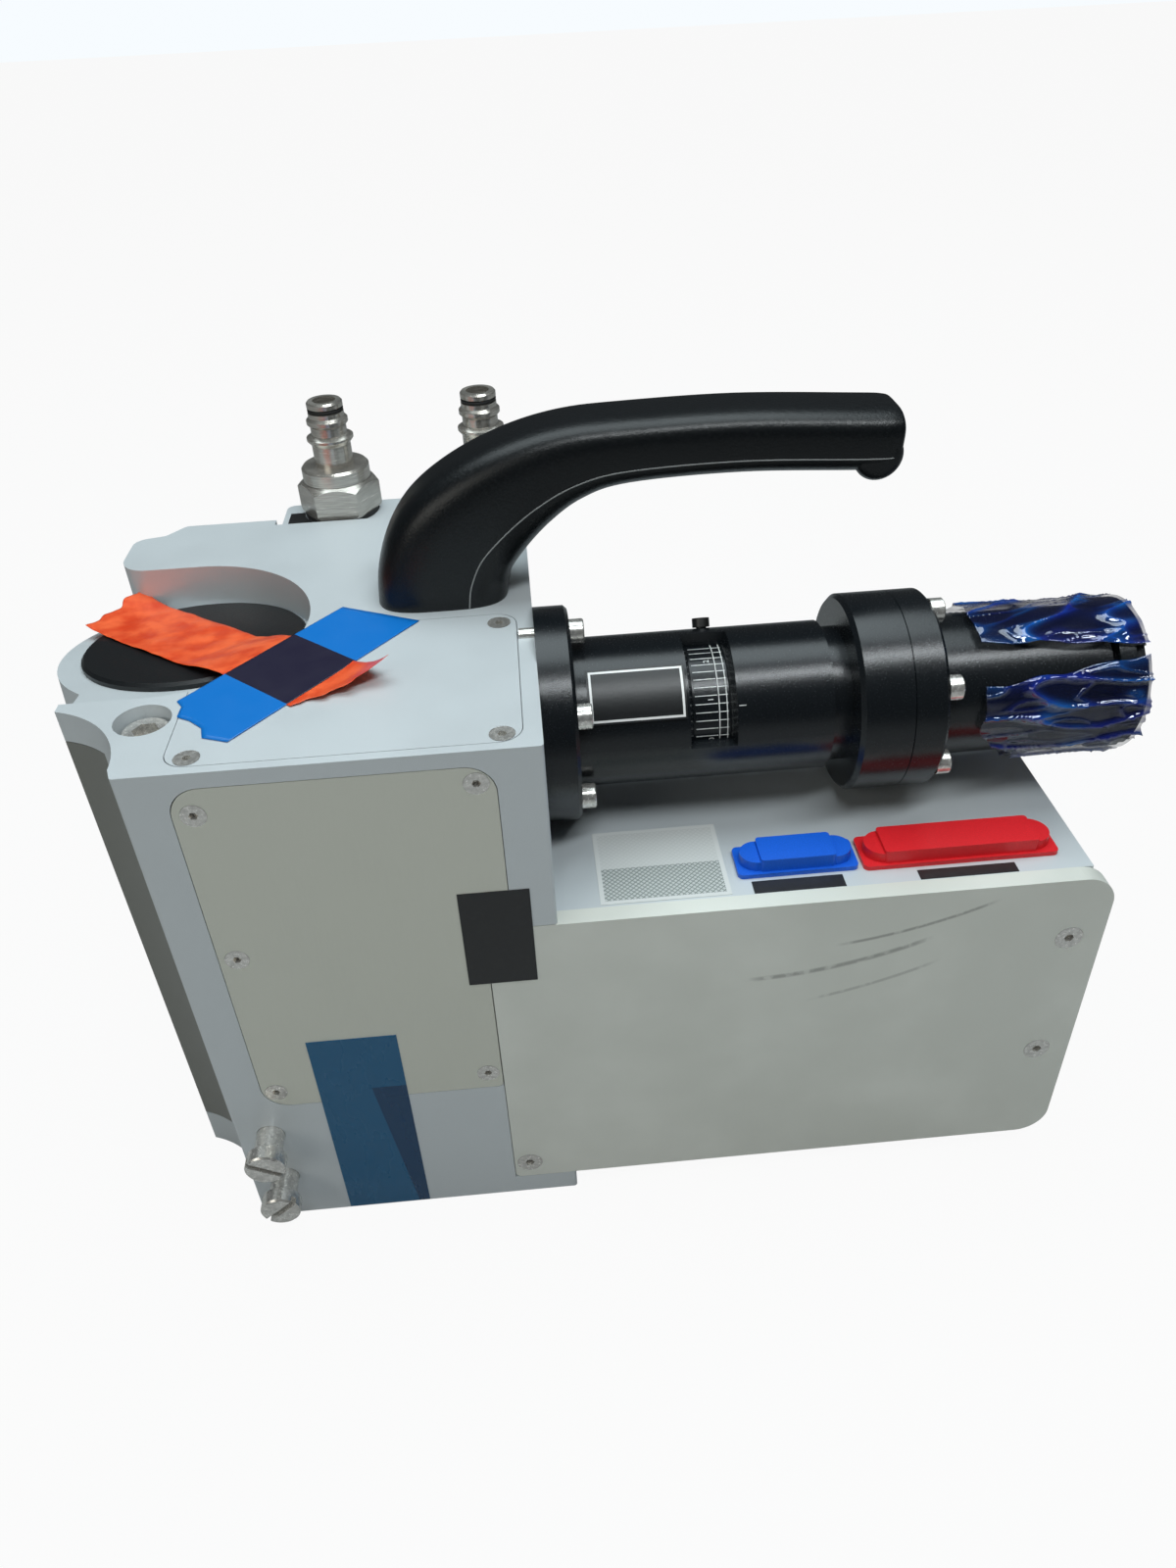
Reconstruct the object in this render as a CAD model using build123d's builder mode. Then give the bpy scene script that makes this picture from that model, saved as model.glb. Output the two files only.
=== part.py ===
from build123d import *
from math import asin, cos, degrees, radians, sin, sqrt, tan
import os

os.makedirs("parts", exist_ok=True)

# Two-axis laser scan head: water-cooled head, beam expander, fibre collimator and driver box.
# Millimetres, +Z up. The origin lies on the standing face, straight under the beam exit.
# +X runs along the beam expander towards the fibre end, and the service side faces -Y.

# ---------------------------------------------------------------- head housing
front_y = -79.0
back_y = 68.0
block_seat_y = 64.0
block_seat_x = 15.5
right_x = 99.0
left_x = -25.0
nose_x = -29.5
corner_x = -3.0
height = 176.0
scallop_r = 30.0
scallop_x = -34.4
scallop_y = -75.0
cavity_floor = 49.0
cavity_top = 166.0
cavity_left_top = 158.0
cavity_right = 93.0
cavity_front = -68.0
cavity_back = 58.0

# ---------------------------------------------------------------- beam exit
slot_r = 39.0
slot_x = -4.0
slot_y = -4.0
exit_tilt = 7.5
floor_z = 166.7
lobe_r = 38.7
lobe_depth = 52.0
ring_r = 27.0
ring_depth = 5.0
window_r = 22.0
window_t = 3.0
exit_bore_r = 20.0
cap_r = 32.0
cap_t = 2.2
cap_plug_r = 21.7
cap_plug_depth = 1.4

# ---------------------------------------------------------------- covers and plates
cover_t = 3.0
gap = 0.2
front_cover_x = (8.4, 86.8)
front_cover_z = (53.7, 171.3)
front_cover_step = (79.2, 118.6)
cover_corner_r = 8.0
top_cover_left = 8.0
top_cover_right = 94.2
top_cover_front = -76.0
top_cover_back = -11.2
left_cover_t = 2.5
left_cover_z = (14.0, 167.0)
left_cover_front = -54.0
left_cover_back = -31.5

# ---------------------------------------------------------------- driver box
box_x = (99.0, 248.4)
box_z = (7.8, 117.7)
box_y = (-73.6, 62.6)
box_wall = 4.0
boss_depth = 12.0
plate_t = 5.4
plate_left = 79.5
plate_right = 253.7
plate_r = 9.5

# ---------------------------------------------------------------- optical axis
axis_y = -24.4
axis_z = 149.4
mirror_y = -2.6
flange_r = 31.0
flange_end = 108.7
tube_r = 21.5
tube_end = 179.8
neck_r = 19.5
neck_end = 192.0
ring_start = 185.3
ring_split = 200.1
ring_end = 209.7
clamp_ring_r = 28.6
collimator_r = 20.4
collimator_end = 258.8
lock_ring_start = 260.2
fibre_end = 268.3
sleeve_r = 17.6
run_fit = 0.06
beam_r = 12.5

exit_plane = Plane(
    origin=(0, 0, floor_z),
    x_dir=(1, 0, 0),
    z_dir=(0, sin(radians(exit_tilt)), cos(radians(exit_tilt))),
)
tube_plane = Plane(origin=(0, axis_y, axis_z), x_dir=(1, 0, 0), z_dir=(0, -1, 0))
tube_axis = Axis((0, axis_y, axis_z), (-1, 0, 0))
front_plane = Plane(origin=(0, front_y, 0), x_dir=(1, 0, 0), z_dir=(0, -1, 0))


def save(part, name):
    part.label = name
    export_step(part, "parts/" + name + ".step")


def across(x, angle, radius):
    """A point on a circle round the optical axis; angle 0 faces -Y and 90 faces up."""
    a = radians(angle)
    return (x, axis_y - radius * cos(a), axis_z + radius * sin(a))


def tube_station(x, angle=0.0):
    """A plane square to the optical axis whose local x points along the angle."""
    a = radians(angle)
    return Plane(origin=(x, axis_y, axis_z), x_dir=(0, -cos(a), sin(a)), z_dir=(1, 0, 0))


def block(x, y, z, mode=Mode.ADD):
    """A box given by its low and high limits on each axis."""
    centre = ((x[0] + x[1]) / 2, (y[0] + y[1]) / 2, (z[0] + z[1]) / 2)
    with Locations(centre):
        Box(x[1] - x[0], y[1] - y[0], z[1] - z[0], mode=mode)


def turned(points, angle=360.0, start=0.0):
    """A body turned about the optical axis from (x, radius) points."""
    a = radians(start)
    plane = Plane(origin=(0, axis_y, axis_z), x_dir=(1, 0, 0), z_dir=(0, -sin(a), -cos(a)))
    with BuildPart() as body:
        with BuildSketch(plane):
            with BuildLine():
                Polyline(*points, close=True)
            make_face()
        revolve(axis=tube_axis, revolution_arc=angle)
    return body.part


def countersunk(head_r, shank_r, length, hex_af):
    """A countersunk socket screw, head up, top face at the local origin."""
    cone = head_r - shank_r
    with BuildPart() as screw:
        with BuildSketch(Plane.XZ):
            with BuildLine():
                Polyline(
                    (0, 0),
                    (head_r, 0),
                    (shank_r, -cone),
                    (shank_r, -length),
                    (0, -length),
                    close=True,
                )
            make_face()
        revolve(axis=Axis.Z)
        with BuildSketch(Plane.XY):
            RegularPolygon(hex_af / 2, 6, major_radius=False)
        extrude(amount=-cone * 0.9, mode=Mode.SUBTRACT)
    return screw.part


def cap_screw(head_r, head_h, shank_r, length, hex_af):
    """A socket cap screw, head up, with the head's seat at the local origin."""
    with BuildPart() as screw:
        Cylinder(head_r, head_h, align=(Align.CENTER, Align.CENTER, Align.MIN))
        chamfer(screw.edges().group_by(Axis.Z)[-1], head_r * 0.1)
        with Locations((0, 0, -length)):
            Cylinder(shank_r, length, align=(Align.CENTER, Align.CENTER, Align.MIN))
        with BuildSketch(Plane.XY.offset(head_h)):
            RegularPolygon(hex_af / 2, 6, major_radius=False)
        extrude(amount=-head_h * 0.55, mode=Mode.SUBTRACT)
    return screw.part


def group(part, places):
    """Copies of one fastener, kept as separate solids, at the given planes."""
    return Compound([plane.location * part for plane in places])


def facing_front(x, z, y=front_y):
    return Plane(origin=(x, y, z), x_dir=(1, 0, 0), z_dir=(0, -1, 0))


def facing_up(x, y, z):
    return Plane(origin=(x, y, z))


# Screw sizes: head radius, shank radius, length, key.
m3_flat = (3.25, 1.5, 7.5, 2.0)
m4_flat = (4.0, 2.0, 9.0, 2.5)

front_screws = [(13.5, 163.4), (82.0, 166.4), (13.2, 114.7), (12.5, 59.8), (75.1, 60.0)]
top_screws = [(13.6, -72.4), (89.2, -72.4), (89.4, -16.1), (42.0, -15.2)]
plate_screws = [(84.4, 14.7), (243.8, 95.7), (243.8, 48.3), (84.4, 109.5)]
front_places = [facing_front(x, z) for x, z in front_screws]
top_places = [facing_up(x, y, height) for x, y in top_screws]
plate_places = [facing_front(x, z) for x, z in plate_screws]
back_screws = [(x, z) for x in (104.5, 243.8) for z in (14.7, 110.8)]
back_places = [Plane(origin=(x, back_y, z), x_dir=(-1, 0, 0), z_dir=(0, 1, 0)) for x, z in back_screws]


def drill_flat(screw, places):
    """Countersunk clearance for a group of screws in the part being built."""
    head_r, shank_r, length, _ = screw
    with Locations(*[plane.location for plane in places]):
        CounterSinkHole(shank_r, head_r + 0.1, depth=length, counter_sink_angle=90)


def front_cover_sketch(clear):
    x0 = front_cover_x[0] - clear
    x1 = front_cover_x[1] + clear
    z0 = front_cover_z[0] - clear
    z1 = front_cover_z[1] + clear
    step_x = front_cover_step[0] + clear
    step_z = front_cover_step[1] - clear
    with BuildSketch(front_plane) as face:
        with BuildLine():
            Polyline((x0, z0), (step_x, z0), (step_x, step_z), (x1, step_z), (x1, z1), (x0, z1), (x0, z0))
        make_face()
        fillet(face.vertices().group_by(Axis.Y)[-1], cover_corner_r)
        fillet(face.vertices().group_by(Axis.Y)[0].sort_by(Axis.X)[0], cover_corner_r)
        fillet(face.vertices().group_by(Axis.Y)[0].sort_by(Axis.X)[-1], 1.5)
    return face.sketch


def top_cover_sketch(clear):
    with BuildSketch(Plane.XY.offset(height)) as face:
        with Locations((top_cover_left - clear, top_cover_front - clear)):
            Rectangle(
                top_cover_right - top_cover_left + 2 * clear,
                top_cover_back - top_cover_front + 2 * clear,
                align=(Align.MIN, Align.MIN),
            )
        fillet(face.vertices(), 6.0)
        with Locations((slot_x, slot_y)):
            Circle(slot_r - 4 * clear, mode=Mode.SUBTRACT)
    return face.sketch


def left_wall_sketch(inset):
    """The scalloped corner and the flank, drawn back from the outer face by the inset."""
    flank = left_x + inset
    radius = scallop_r + inset
    tip_y = scallop_y + sqrt(radius**2 - (flank - scallop_x) ** 2)
    start = (scallop_x + radius, scallop_y)
    middle_angle = (degrees(asin((tip_y - scallop_y) / radius))) / 2
    middle = (
        scallop_x + radius * cos(radians(middle_angle)),
        scallop_y + radius * sin(radians(middle_angle)),
    )
    with BuildSketch(Plane.XY) as face:
        with BuildLine():
            ThreePointArc(start, middle, (flank, tip_y))
            Polyline((flank, tip_y), (flank, 0), (slot_r, 0), (slot_r, scallop_y), start)
        make_face()
    return face.sketch


# ---------------------------------------------------------------- tools that cut the recesses
with BuildPart() as recess_tool:
    with BuildSketch(Plane.XY.offset(height + 1)):
        with BuildLine():
            mouth_r = 9.0
            slot_back = slot_y + slot_r
            ThreePointArc((slot_x, slot_y - slot_r), (slot_x + slot_r, slot_y), (slot_x, slot_back))
            Line((slot_x, slot_back), (nose_x + mouth_r, slot_back))
            RadiusArc((nose_x + mouth_r, slot_back), (nose_x, slot_back + mouth_r), mouth_r)
            Polyline(
                (nose_x, slot_back + mouth_r),
                (nose_x - 20, slot_back + mouth_r),
                (nose_x - 20, slot_y - slot_r),
                (slot_x, slot_y - slot_r),
            )
        make_face()
    extrude(amount=-20)
    split(bisect_by=exit_plane, keep=Keep.TOP)

with BuildPart() as left_cover_tool:
    with BuildSketch():
        add(left_wall_sketch(0))
        add(left_wall_sketch(left_cover_t), mode=Mode.SUBTRACT)
    extrude(amount=height)
    block((-60, 60), (left_cover_back, 60), (-1, height + 1), mode=Mode.SUBTRACT)
    block((-60, 60), (-120, left_cover_front), (-1, height + 1), mode=Mode.SUBTRACT)
    block((-60, 60), (-120, 60), (-1, left_cover_z[0]), mode=Mode.SUBTRACT)
    block((-60, 60), (-120, 60), (left_cover_z[1], height + 1), mode=Mode.SUBTRACT)

# ---------------------------------------------------------------- housing
block_top = 174.0
m8_x = -1.1
m8_y = -53.8
m8_top = 173.0
m8_head_h = 8.0
captive_x = (7.0, 7.4)
captive_z = (40.5, 19.4)
captive_shank_r = 4.2
captive_depth = 16.0
handle_y = 8.0
handle_screw_x = (64.0, 83.0)
flange_bolts = [across(flange_end, 30 + 60 * k, 26.5) for k in range(6)]
flange_places = [Plane(origin=p, x_dir=(0, 1, 0), z_dir=(1, 0, 0)) for p in flange_bolts]
ring_bolts = [across(ring_end, 30 + 60 * k, 24.7) for k in range(6)]
ring_places = [Plane(origin=p, x_dir=(0, 1, 0), z_dir=(1, 0, 0)) for p in ring_bolts]
flange_screw = (3.5, 4.0, 2.0, 14.0)
cable_port_y = (-30.0, 20.0)
cable_port_z = (50.0, 90.0)

with BuildPart() as housing:
    with BuildSketch() as plan:
        with BuildLine():
            tip_y = scallop_y + sqrt(scallop_r**2 - (left_x - scallop_x) ** 2)
            scallop_start = (scallop_x + scallop_r, scallop_y)
            bend = asin((tip_y - scallop_y) / scallop_r) / 2
            scallop_mid = (scallop_x + scallop_r * cos(bend), scallop_y + scallop_r * sin(bend))
            ThreePointArc(scallop_start, scallop_mid, (left_x, tip_y))
            Polyline(
                (left_x, tip_y),
                (left_x, -30),
                (nose_x, -10),
                (nose_x, 59),
                (-20, 61),
                (-14.5, back_y),
                (block_seat_x, back_y),
                (block_seat_x, block_seat_y),
                (right_x, block_seat_y),
                (right_x, front_y),
                (corner_x, front_y),
                scallop_start,
            )
        make_face()
        fillet(plan.vertices().sort_by_distance((nose_x, 59)).first, 5.0)
        fillet(plan.vertices().sort_by_distance((-20, 61)).first, 4.0)
        fillet(plan.vertices().sort_by_distance((-14.5, back_y)).first, 2.5)
        fillet(plan.vertices().sort_by_distance((right_x, front_y)).first, 1.0)
        fillet(plan.vertices().sort_by_distance((corner_x, front_y)).first, 1.0)
    extrude(amount=height)
    with BuildSketch(exit_plane):
        Circle(lobe_r)
    extrude(amount=-lobe_depth)
    add(recess_tool.part, mode=Mode.SUBTRACT)
    block((40, cavity_right), (cavity_front, cavity_back), (cavity_floor, cavity_top), Mode.SUBTRACT)
    block((10, 41), (cavity_front, cavity_back), (cavity_floor, cavity_left_top), Mode.SUBTRACT)
    block((-19, 11), (-40, 29), (cavity_floor, cavity_left_top), Mode.SUBTRACT)
    block((12, 41), (mirror_y - 12, mirror_y + 12), (150, 161.5), Mode.SUBTRACT)
    with BuildSketch(exit_plane):
        Circle(ring_r)
    extrude(amount=-ring_depth, mode=Mode.SUBTRACT)
    with BuildSketch(exit_plane):
        Circle(exit_bore_r)
    extrude(amount=-24, mode=Mode.SUBTRACT)
    with BuildSketch(tube_station(right_x)):
        Circle(beam_r)
    extrude(amount=-12, mode=Mode.SUBTRACT)
    block((92, 104), cable_port_y, cable_port_z, Mode.SUBTRACT)
    extrude(front_cover_sketch(gap), amount=-cover_t, mode=Mode.SUBTRACT)
    block((20, 74), (front_y - 1, cavity_front + 1), (66, 150), Mode.SUBTRACT)
    extrude(top_cover_sketch(gap), amount=-cover_t, mode=Mode.SUBTRACT)
    block((48, 84), (-66, -22), (cavity_top - 1, height), Mode.SUBTRACT)
    plate_seat_z = (box_z[0] - gap, box_z[1] + gap)
    block((plate_left - gap, right_x + 1), (front_y - 1, front_y + plate_t), plate_seat_z, Mode.SUBTRACT)
    add(left_cover_tool.part, mode=Mode.SUBTRACT)
    with Locations((m8_x, m8_y, height)):
        CounterBoreHole(4.0, 7.3, height - m8_top + m8_head_h, depth=40)
    with Locations(*[plane.location for plane in front_places]):
        Hole(m3_flat[1], depth=m3_flat[2] + 1)
    with Locations(*[plane.location for plane in top_places]):
        Hole(m3_flat[1], depth=m3_flat[2] + 1)
    with Locations(plate_places[0].location, plate_places[3].location):
        Hole(m4_flat[1], depth=m4_flat[2] + 1)
    with Locations(*[facing_front(x, z).location for x, z in zip(captive_x, captive_z)]):
        Hole(captive_shank_r + 0.1, depth=captive_depth + 9)
    with Locations(*[plane.location for plane in flange_places]):
        Hole(flange_screw[2], depth=flange_screw[3] + 1)
    with Locations(*[(x, handle_y, height) for x in handle_screw_x]):
        Hole(2.5, depth=12)

save(housing.part, "housing")

with BuildPart() as front_cover:
    extrude(front_cover_sketch(0), amount=-cover_t)
    drill_flat(m3_flat, front_places)
save(front_cover.part, "front_cover")

with BuildPart() as top_cover:
    extrude(top_cover_sketch(0), amount=-cover_t)
    drill_flat(m3_flat, top_places)
save(top_cover.part, "top_cover")

with BuildPart() as left_cover:
    add(left_cover_tool.part)
    block((-60, 60), (left_cover_back - gap, 60), (0, height), mode=Mode.SUBTRACT)
    block((-60, 60), (-120, 60), (0, left_cover_z[0] + gap), mode=Mode.SUBTRACT)
    block((-60, 60), (-120, 60), (left_cover_z[1] - gap, height), mode=Mode.SUBTRACT)
save(left_cover.part, "left_cover")

save(group(countersunk(*m3_flat), front_places + top_places), "cover_screws")

with BuildPart() as bore_screw:
    with Locations((m8_x, m8_y, m8_top - m8_head_h)):
        add(cap_screw(6.5, m8_head_h, 4.0, 24.0, 6.0))
save(bore_screw.part, "mounting_screw")

# ---------------------------------------------------------------- beam exit
with BuildPart() as exit_ring:
    with BuildSketch(exit_plane):
        Circle(ring_r)
        Circle(window_r - 1.5, mode=Mode.SUBTRACT)
    extrude(amount=-ring_depth)
    with BuildSketch(exit_plane):
        Circle(window_r)
    extrude(amount=-window_t - cap_plug_depth, mode=Mode.SUBTRACT)
save(exit_ring.part, "exit_ring")

with BuildPart() as exit_window:
    with BuildSketch(exit_plane.offset(-cap_plug_depth)):
        Circle(window_r)
    extrude(amount=-window_t)
save(exit_window.part, "exit_window")

with BuildPart() as exit_cap:
    with BuildSketch(exit_plane):
        Circle(cap_r)
    extrude(amount=cap_t)
    chamfer(exit_cap.edges().group_by(Axis.Z)[-1], 0.9, 0.9)
    with BuildSketch(exit_plane):
        Circle(cap_plug_r)
        Circle(cap_plug_r - 1.2, mode=Mode.SUBTRACT)
    extrude(amount=-cap_plug_depth)
save(exit_cap.part, "exit_cap")

# ---------------------------------------------------------------- driver box
# Sub-D sockets sit behind the lid, so that only their shells stand out of it.
dsub_y = -61.0
panel_t = 1.5
dsub_seat = box_z[1] - panel_t
dsub_flange_t = 0.8
dsub_shell_h = 5.8
dsub_shell_d = 8.2
dsub_pitch = 2.76
power_shell = (167.2, 17.0, 31.0)
signal_shell = (213.2, 39.0, 53.2)

with BuildPart() as box_shell:
    block(box_x, box_y, box_z)
    inner_x = (box_x[0] + box_wall, box_x[1] - box_wall)
    inner_z = (box_z[0] + box_wall, box_z[1] - box_wall)
    block(inner_x, (box_y[0] - 1, box_y[1] + 1), inner_z, Mode.SUBTRACT)
    block((box_x[0] - 1, inner_x[0] + 1), cable_port_y, cable_port_z, Mode.SUBTRACT)
    for x, z in plate_screws[1:3]:
        block((x - 5.5, box_x[1]), (box_y[0], box_y[0] + boss_depth), (z - 5, z + 5))
    for x, z in back_screws:
        block((x - 5.5, x + 4.6), (box_y[1] - boss_depth, box_y[1]), (z - 5, z + 5))
    for x, shell_w, flange_w in (power_shell, signal_shell):
        hole_x = (x - shell_w / 2 - gap, x + shell_w / 2 + gap)
        seat_x = (x - flange_w / 2 - gap, x + flange_w / 2 + gap)
        block(hole_x, (dsub_y - 4.6, dsub_y + 4.6), (dsub_seat - 1, box_z[1] + 1), Mode.SUBTRACT)
        block(seat_x, (dsub_y - 6.4, dsub_y + 6.4), (inner_z[1] - 1, dsub_seat), Mode.SUBTRACT)
    with Locations(*[plane.location for plane in plate_places[1:3] + back_places]):
        Hole(m4_flat[1], depth=m4_flat[2] + 1)
save(box_shell.part, "box_shell")

with BuildPart() as side_plate:
    with BuildSketch(front_plane) as outline:
        with BuildLine():
            Polyline(
                (plate_left, box_z[0]),
                (plate_right, box_z[0]),
                (plate_right, box_z[1]),
                (plate_left, box_z[1]),
                close=True,
            )
        make_face()
        fillet(outline.vertices().group_by(Axis.X)[-1], plate_r)
        fillet(outline.vertices().group_by(Axis.X)[0], 2.0)
    extrude(amount=-plate_t)
    drill_flat(m4_flat, plate_places)
save(side_plate.part, "side_plate")

with BuildPart() as back_plate:
    with BuildSketch(Plane(origin=(0, back_y, 0), x_dir=(1, 0, 0), z_dir=(0, -1, 0))) as outline:
        with BuildLine():
            Polyline(
                (right_x + gap, box_z[0]),
                (plate_right, box_z[0]),
                (plate_right, box_z[1]),
                (right_x + gap, box_z[1]),
                close=True,
            )
        make_face()
        fillet(outline.vertices().group_by(Axis.X)[-1], plate_r)
    extrude(amount=plate_t)
    drill_flat(m4_flat, back_places)
save(back_plate.part, "back_plate")

save(group(countersunk(*m4_flat), plate_places + back_places), "plate_screws")

board_z = (24.0, 104.0)
board_x = (118.0, 236.0)
for name, y in (("servo_board_x", -25.0), ("servo_board_y", 25.0)):
    with BuildPart() as board:
        block(board_x, (y, y + 1.6), board_z)
        block((130, 150), (y - 12, y), (34, 50))
        block((160, 184), (y - 8, y), (60, 78))
        block((196, 226), (y - 10, y), (30, 44))
        with Locations((205, y, 78), (218, y, 78)):
            Cylinder(5, 18, rotation=(90, 0, 0), align=(Align.CENTER, Align.CENTER, Align.MIN))
    save(board.part, name)

with BuildPart() as board_posts:
    for y in (-25.0, 25.0):
        for x in (123.0, 231.0):
            block((x - 3, x + 3), (y + 1.6, box_y[1] if y > 0 else 25.0 - 12), (board_z[0], board_z[0] + 6))
            block((x - 3, x + 3), (y - 2, y + 10), (board_z[0] - 12.2, board_z[0]))
save(board_posts.part, "board_posts")


def dsub(shell, pins):
    """A Sub-D socket looking up out of the box, with its body below the lid."""
    x, shell_w, flange_w = shell
    with BuildPart() as socket:
        flange_y = (dsub_y - 6.2, dsub_y + 6.2)
        block((x - flange_w / 2, x + flange_w / 2), flange_y, (dsub_seat - dsub_flange_t, dsub_seat))
        with BuildSketch(Plane.XY.offset(dsub_seat)):
            with Locations((x, dsub_y)):
                Trapezoid(shell_w, dsub_shell_d, 80)
        extrude(amount=dsub_shell_h)
        with BuildSketch(Plane.XY.offset(dsub_seat)):
            with Locations((x, dsub_y)):
                Trapezoid(shell_w - 1.6, dsub_shell_d - 1.6, 80)
        extrude(amount=dsub_shell_h, mode=Mode.SUBTRACT)
        body_y = (dsub_y - 4.4, dsub_y + 4.4)
        block((x - shell_w / 2, x + shell_w / 2), body_y, (dsub_seat - 12, dsub_seat - dsub_flange_t))
        with Locations((x, dsub_y + 1.4, dsub_seat)):
            with GridLocations(dsub_pitch, 1, pins, 1):
                Cylinder(0.5, 5.2, align=(Align.CENTER, Align.CENTER, Align.MIN))
        with Locations((x, dsub_y - 1.4, dsub_seat)):
            with GridLocations(dsub_pitch, 1, pins - 1, 1):
                Cylinder(0.5, 5.2, align=(Align.CENTER, Align.CENTER, Align.MIN))
    return socket.part


cap_clear = 0.3
cap_hollow = dsub_shell_h - panel_t + cap_clear


def dust_cap(shell, y0, width, depth, hood_w):
    """A push-on rubber cap: a flange, a step with round ends and a low hood, hollow under."""
    x, shell_w, _ = shell
    base = box_z[1]
    with BuildPart() as cap:
        with BuildSketch(Plane.XY.offset(base)):
            with Locations((x, y0)):
                RectangleRounded(width, depth, 1.6)
        extrude(amount=1.4)
        with BuildSketch(Plane.XY.offset(base + 1.4)):
            with Locations((x, y0)):
                SlotOverall(width - 2.2, depth - 2.8)
        extrude(amount=2.9, taper=3)
        with BuildSketch(Plane.XY.offset(base + 1.4)):
            with Locations((x, y0)):
                RectangleRounded(hood_w, depth - 1.8, 1.2)
        extrude(amount=3.9, taper=3)
        with BuildSketch(Plane.XY.offset(base)):
            with Locations((x, dsub_y)):
                Rectangle(shell_w + 2 * cap_clear, dsub_shell_d + 2 * cap_clear)
        extrude(amount=cap_hollow, mode=Mode.SUBTRACT)
    return cap.part


save(dsub(power_shell, 5), "power_socket")
save(dsub(signal_shell, 13), "signal_socket")
save(dust_cap(power_shell, -61.0, 34.0, 12.4, 21.5), "power_cap")
save(dust_cap(signal_shell, -61.3, 55.4, 13.4, 44.0), "signal_cap")

# ---------------------------------------------------------------- cooling block and couplings
block_front = block_seat_y
block_depth = 20.6
block_bottom = 118.0
nipple_y = 77.7
nipple_x = (36.7, 87.0)
washer_t = 1.5
hex_af = 24.0
hex_h = 10.7

with BuildPart() as water_block:
    block((17.0, 98.0), (block_front, block_front + block_depth), (block_bottom, block_top))
    fillet(water_block.edges().filter_by(Axis.Z).group_by(Axis.Y)[-1], 3.0)
    fillet(water_block.edges().filter_by(Axis.Z).group_by(Axis.Y)[0].sort_by(Axis.X)[0], 1.5)
    channel_z = block_bottom + 22
    with Locations(*[(x, nipple_y, block_top) for x in nipple_x]):
        Hole(5.0, depth=block_top - channel_z)
    with Locations((17.0, nipple_y, channel_z)):
        with Locations(Rotation(0, 90, 0)):
            Hole(4.0, depth=76)
save(water_block.part, "water_block")


def coupling():
    """A quick-coupling nipple on its hexagon, seat at the local origin."""
    with BuildPart() as nipple:
        with BuildSketch():
            RegularPolygon(hex_af / 2, 6, major_radius=False)
        extrude(amount=hex_h)
        with BuildSketch(Plane.XZ) as keep:
            with BuildLine():
                Polyline(
                    (0, 0),
                    (hex_af * 0.56, 0),
                    (hex_af * 0.58, 1),
                    (hex_af * 0.58, hex_h - 2.4),
                    (hex_af / 2 - 1, hex_h),
                    (0, hex_h),
                    close=True,
                )
            make_face()
        revolve(axis=Axis.Z, mode=Mode.INTERSECT)
        with BuildSketch(Plane.XZ):
            with BuildLine():
                Polyline(
                    (0, hex_h),
                    (11.3, hex_h),
                    (11.3, 14.6),
                    (10.6, 15.4),
                    (6.4, 15.4),
                    (6.4, 22.4),
                    (7.7, 24.0),
                    (7.7, 24.8),
                    (5.9, 25.8),
                    (5.9, 28.4),
                    (6.8, 29.4),
                    (6.8, 30.6),
                    (5.9, 31.6),
                    (5.9, 33.0),
                    (4.9, 33.2),
                    (4.9, 34.4),
                    (5.9, 34.6),
                    (5.9, 36.0),
                    (5.4, 36.6),
                    (0, 36.6),
                    close=True,
                )
            make_face()
        revolve(axis=Axis.Z)
        with BuildSketch(Plane.XY.offset(36.6)):
            Circle(3.8)
        extrude(amount=-36.6, mode=Mode.SUBTRACT)
        with BuildSketch():
            Circle(5.0)
            Circle(3.8, mode=Mode.SUBTRACT)
        extrude(amount=-12)
    return nipple.part


nipple_seat = block_top + washer_t
for name, x in zip(("coupling_in", "coupling_out"), nipple_x):
    with BuildPart() as nipple:
        with Locations((x, nipple_y, nipple_seat)):
            add(coupling())
    save(nipple.part, name)

seal_places = [facing_up(x, nipple_y, block_top) for x in nipple_x]
with BuildPart() as washer:
    Cylinder(12.6, washer_t, align=(Align.CENTER, Align.CENTER, Align.MIN))
    Hole(5.05)
with BuildPart() as o_ring:
    with BuildSketch(Plane.XZ):
        with Locations((5.4, washer_t + 33.8)):
            Circle(0.5)
    revolve(axis=Axis.Z)
seal_pieces = (washer.part, o_ring.part)
save(Compound([plane.location * piece for plane in seal_places for piece in seal_pieces]), "coupling_seals")

# ---------------------------------------------------------------- handle
grip_width = 26.6
grip_corner = 0.42
# Stations along the grip: centre x, centre z, lean from vertical, depth, width.
grip_stations = [
    (73.5, height, 0.0, 38.2, 30.0),
    (74.9, 184.3, 12.0, 38.0, 29.8),
    (79.8, 193.8, 36.0, 35.6, 29.4),
    (88.4, 201.8, 50.0, 31.9, 28.8),
    (99.8, 209.2, 60.0, 26.8, 28.0),
    (112.7, 214.4, 74.0, 21.8, 27.3),
    (128.0, 216.7, 85.0, 18.5, 26.8),
    (160.0, 217.2, 92.0, 17.7, grip_width),
    (194.0, 215.2, 94.0, 17.4, grip_width),
    (202.4, 214.8, 94.0, 16.8, 25.4),
    (204.6, 214.6, 94.0, 12.6, 20.4),
]
nose_centre = (198.7, handle_y, 211.2)
nose_r = 7.3
nose_chamfer = 1.6
with BuildPart() as handle_nose:
    Cylinder(nose_r, grip_width - 3, rotation=(90, 0, 0))
    chamfer(handle_nose.edges().filter_by(GeomType.CIRCLE), nose_chamfer)
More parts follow.
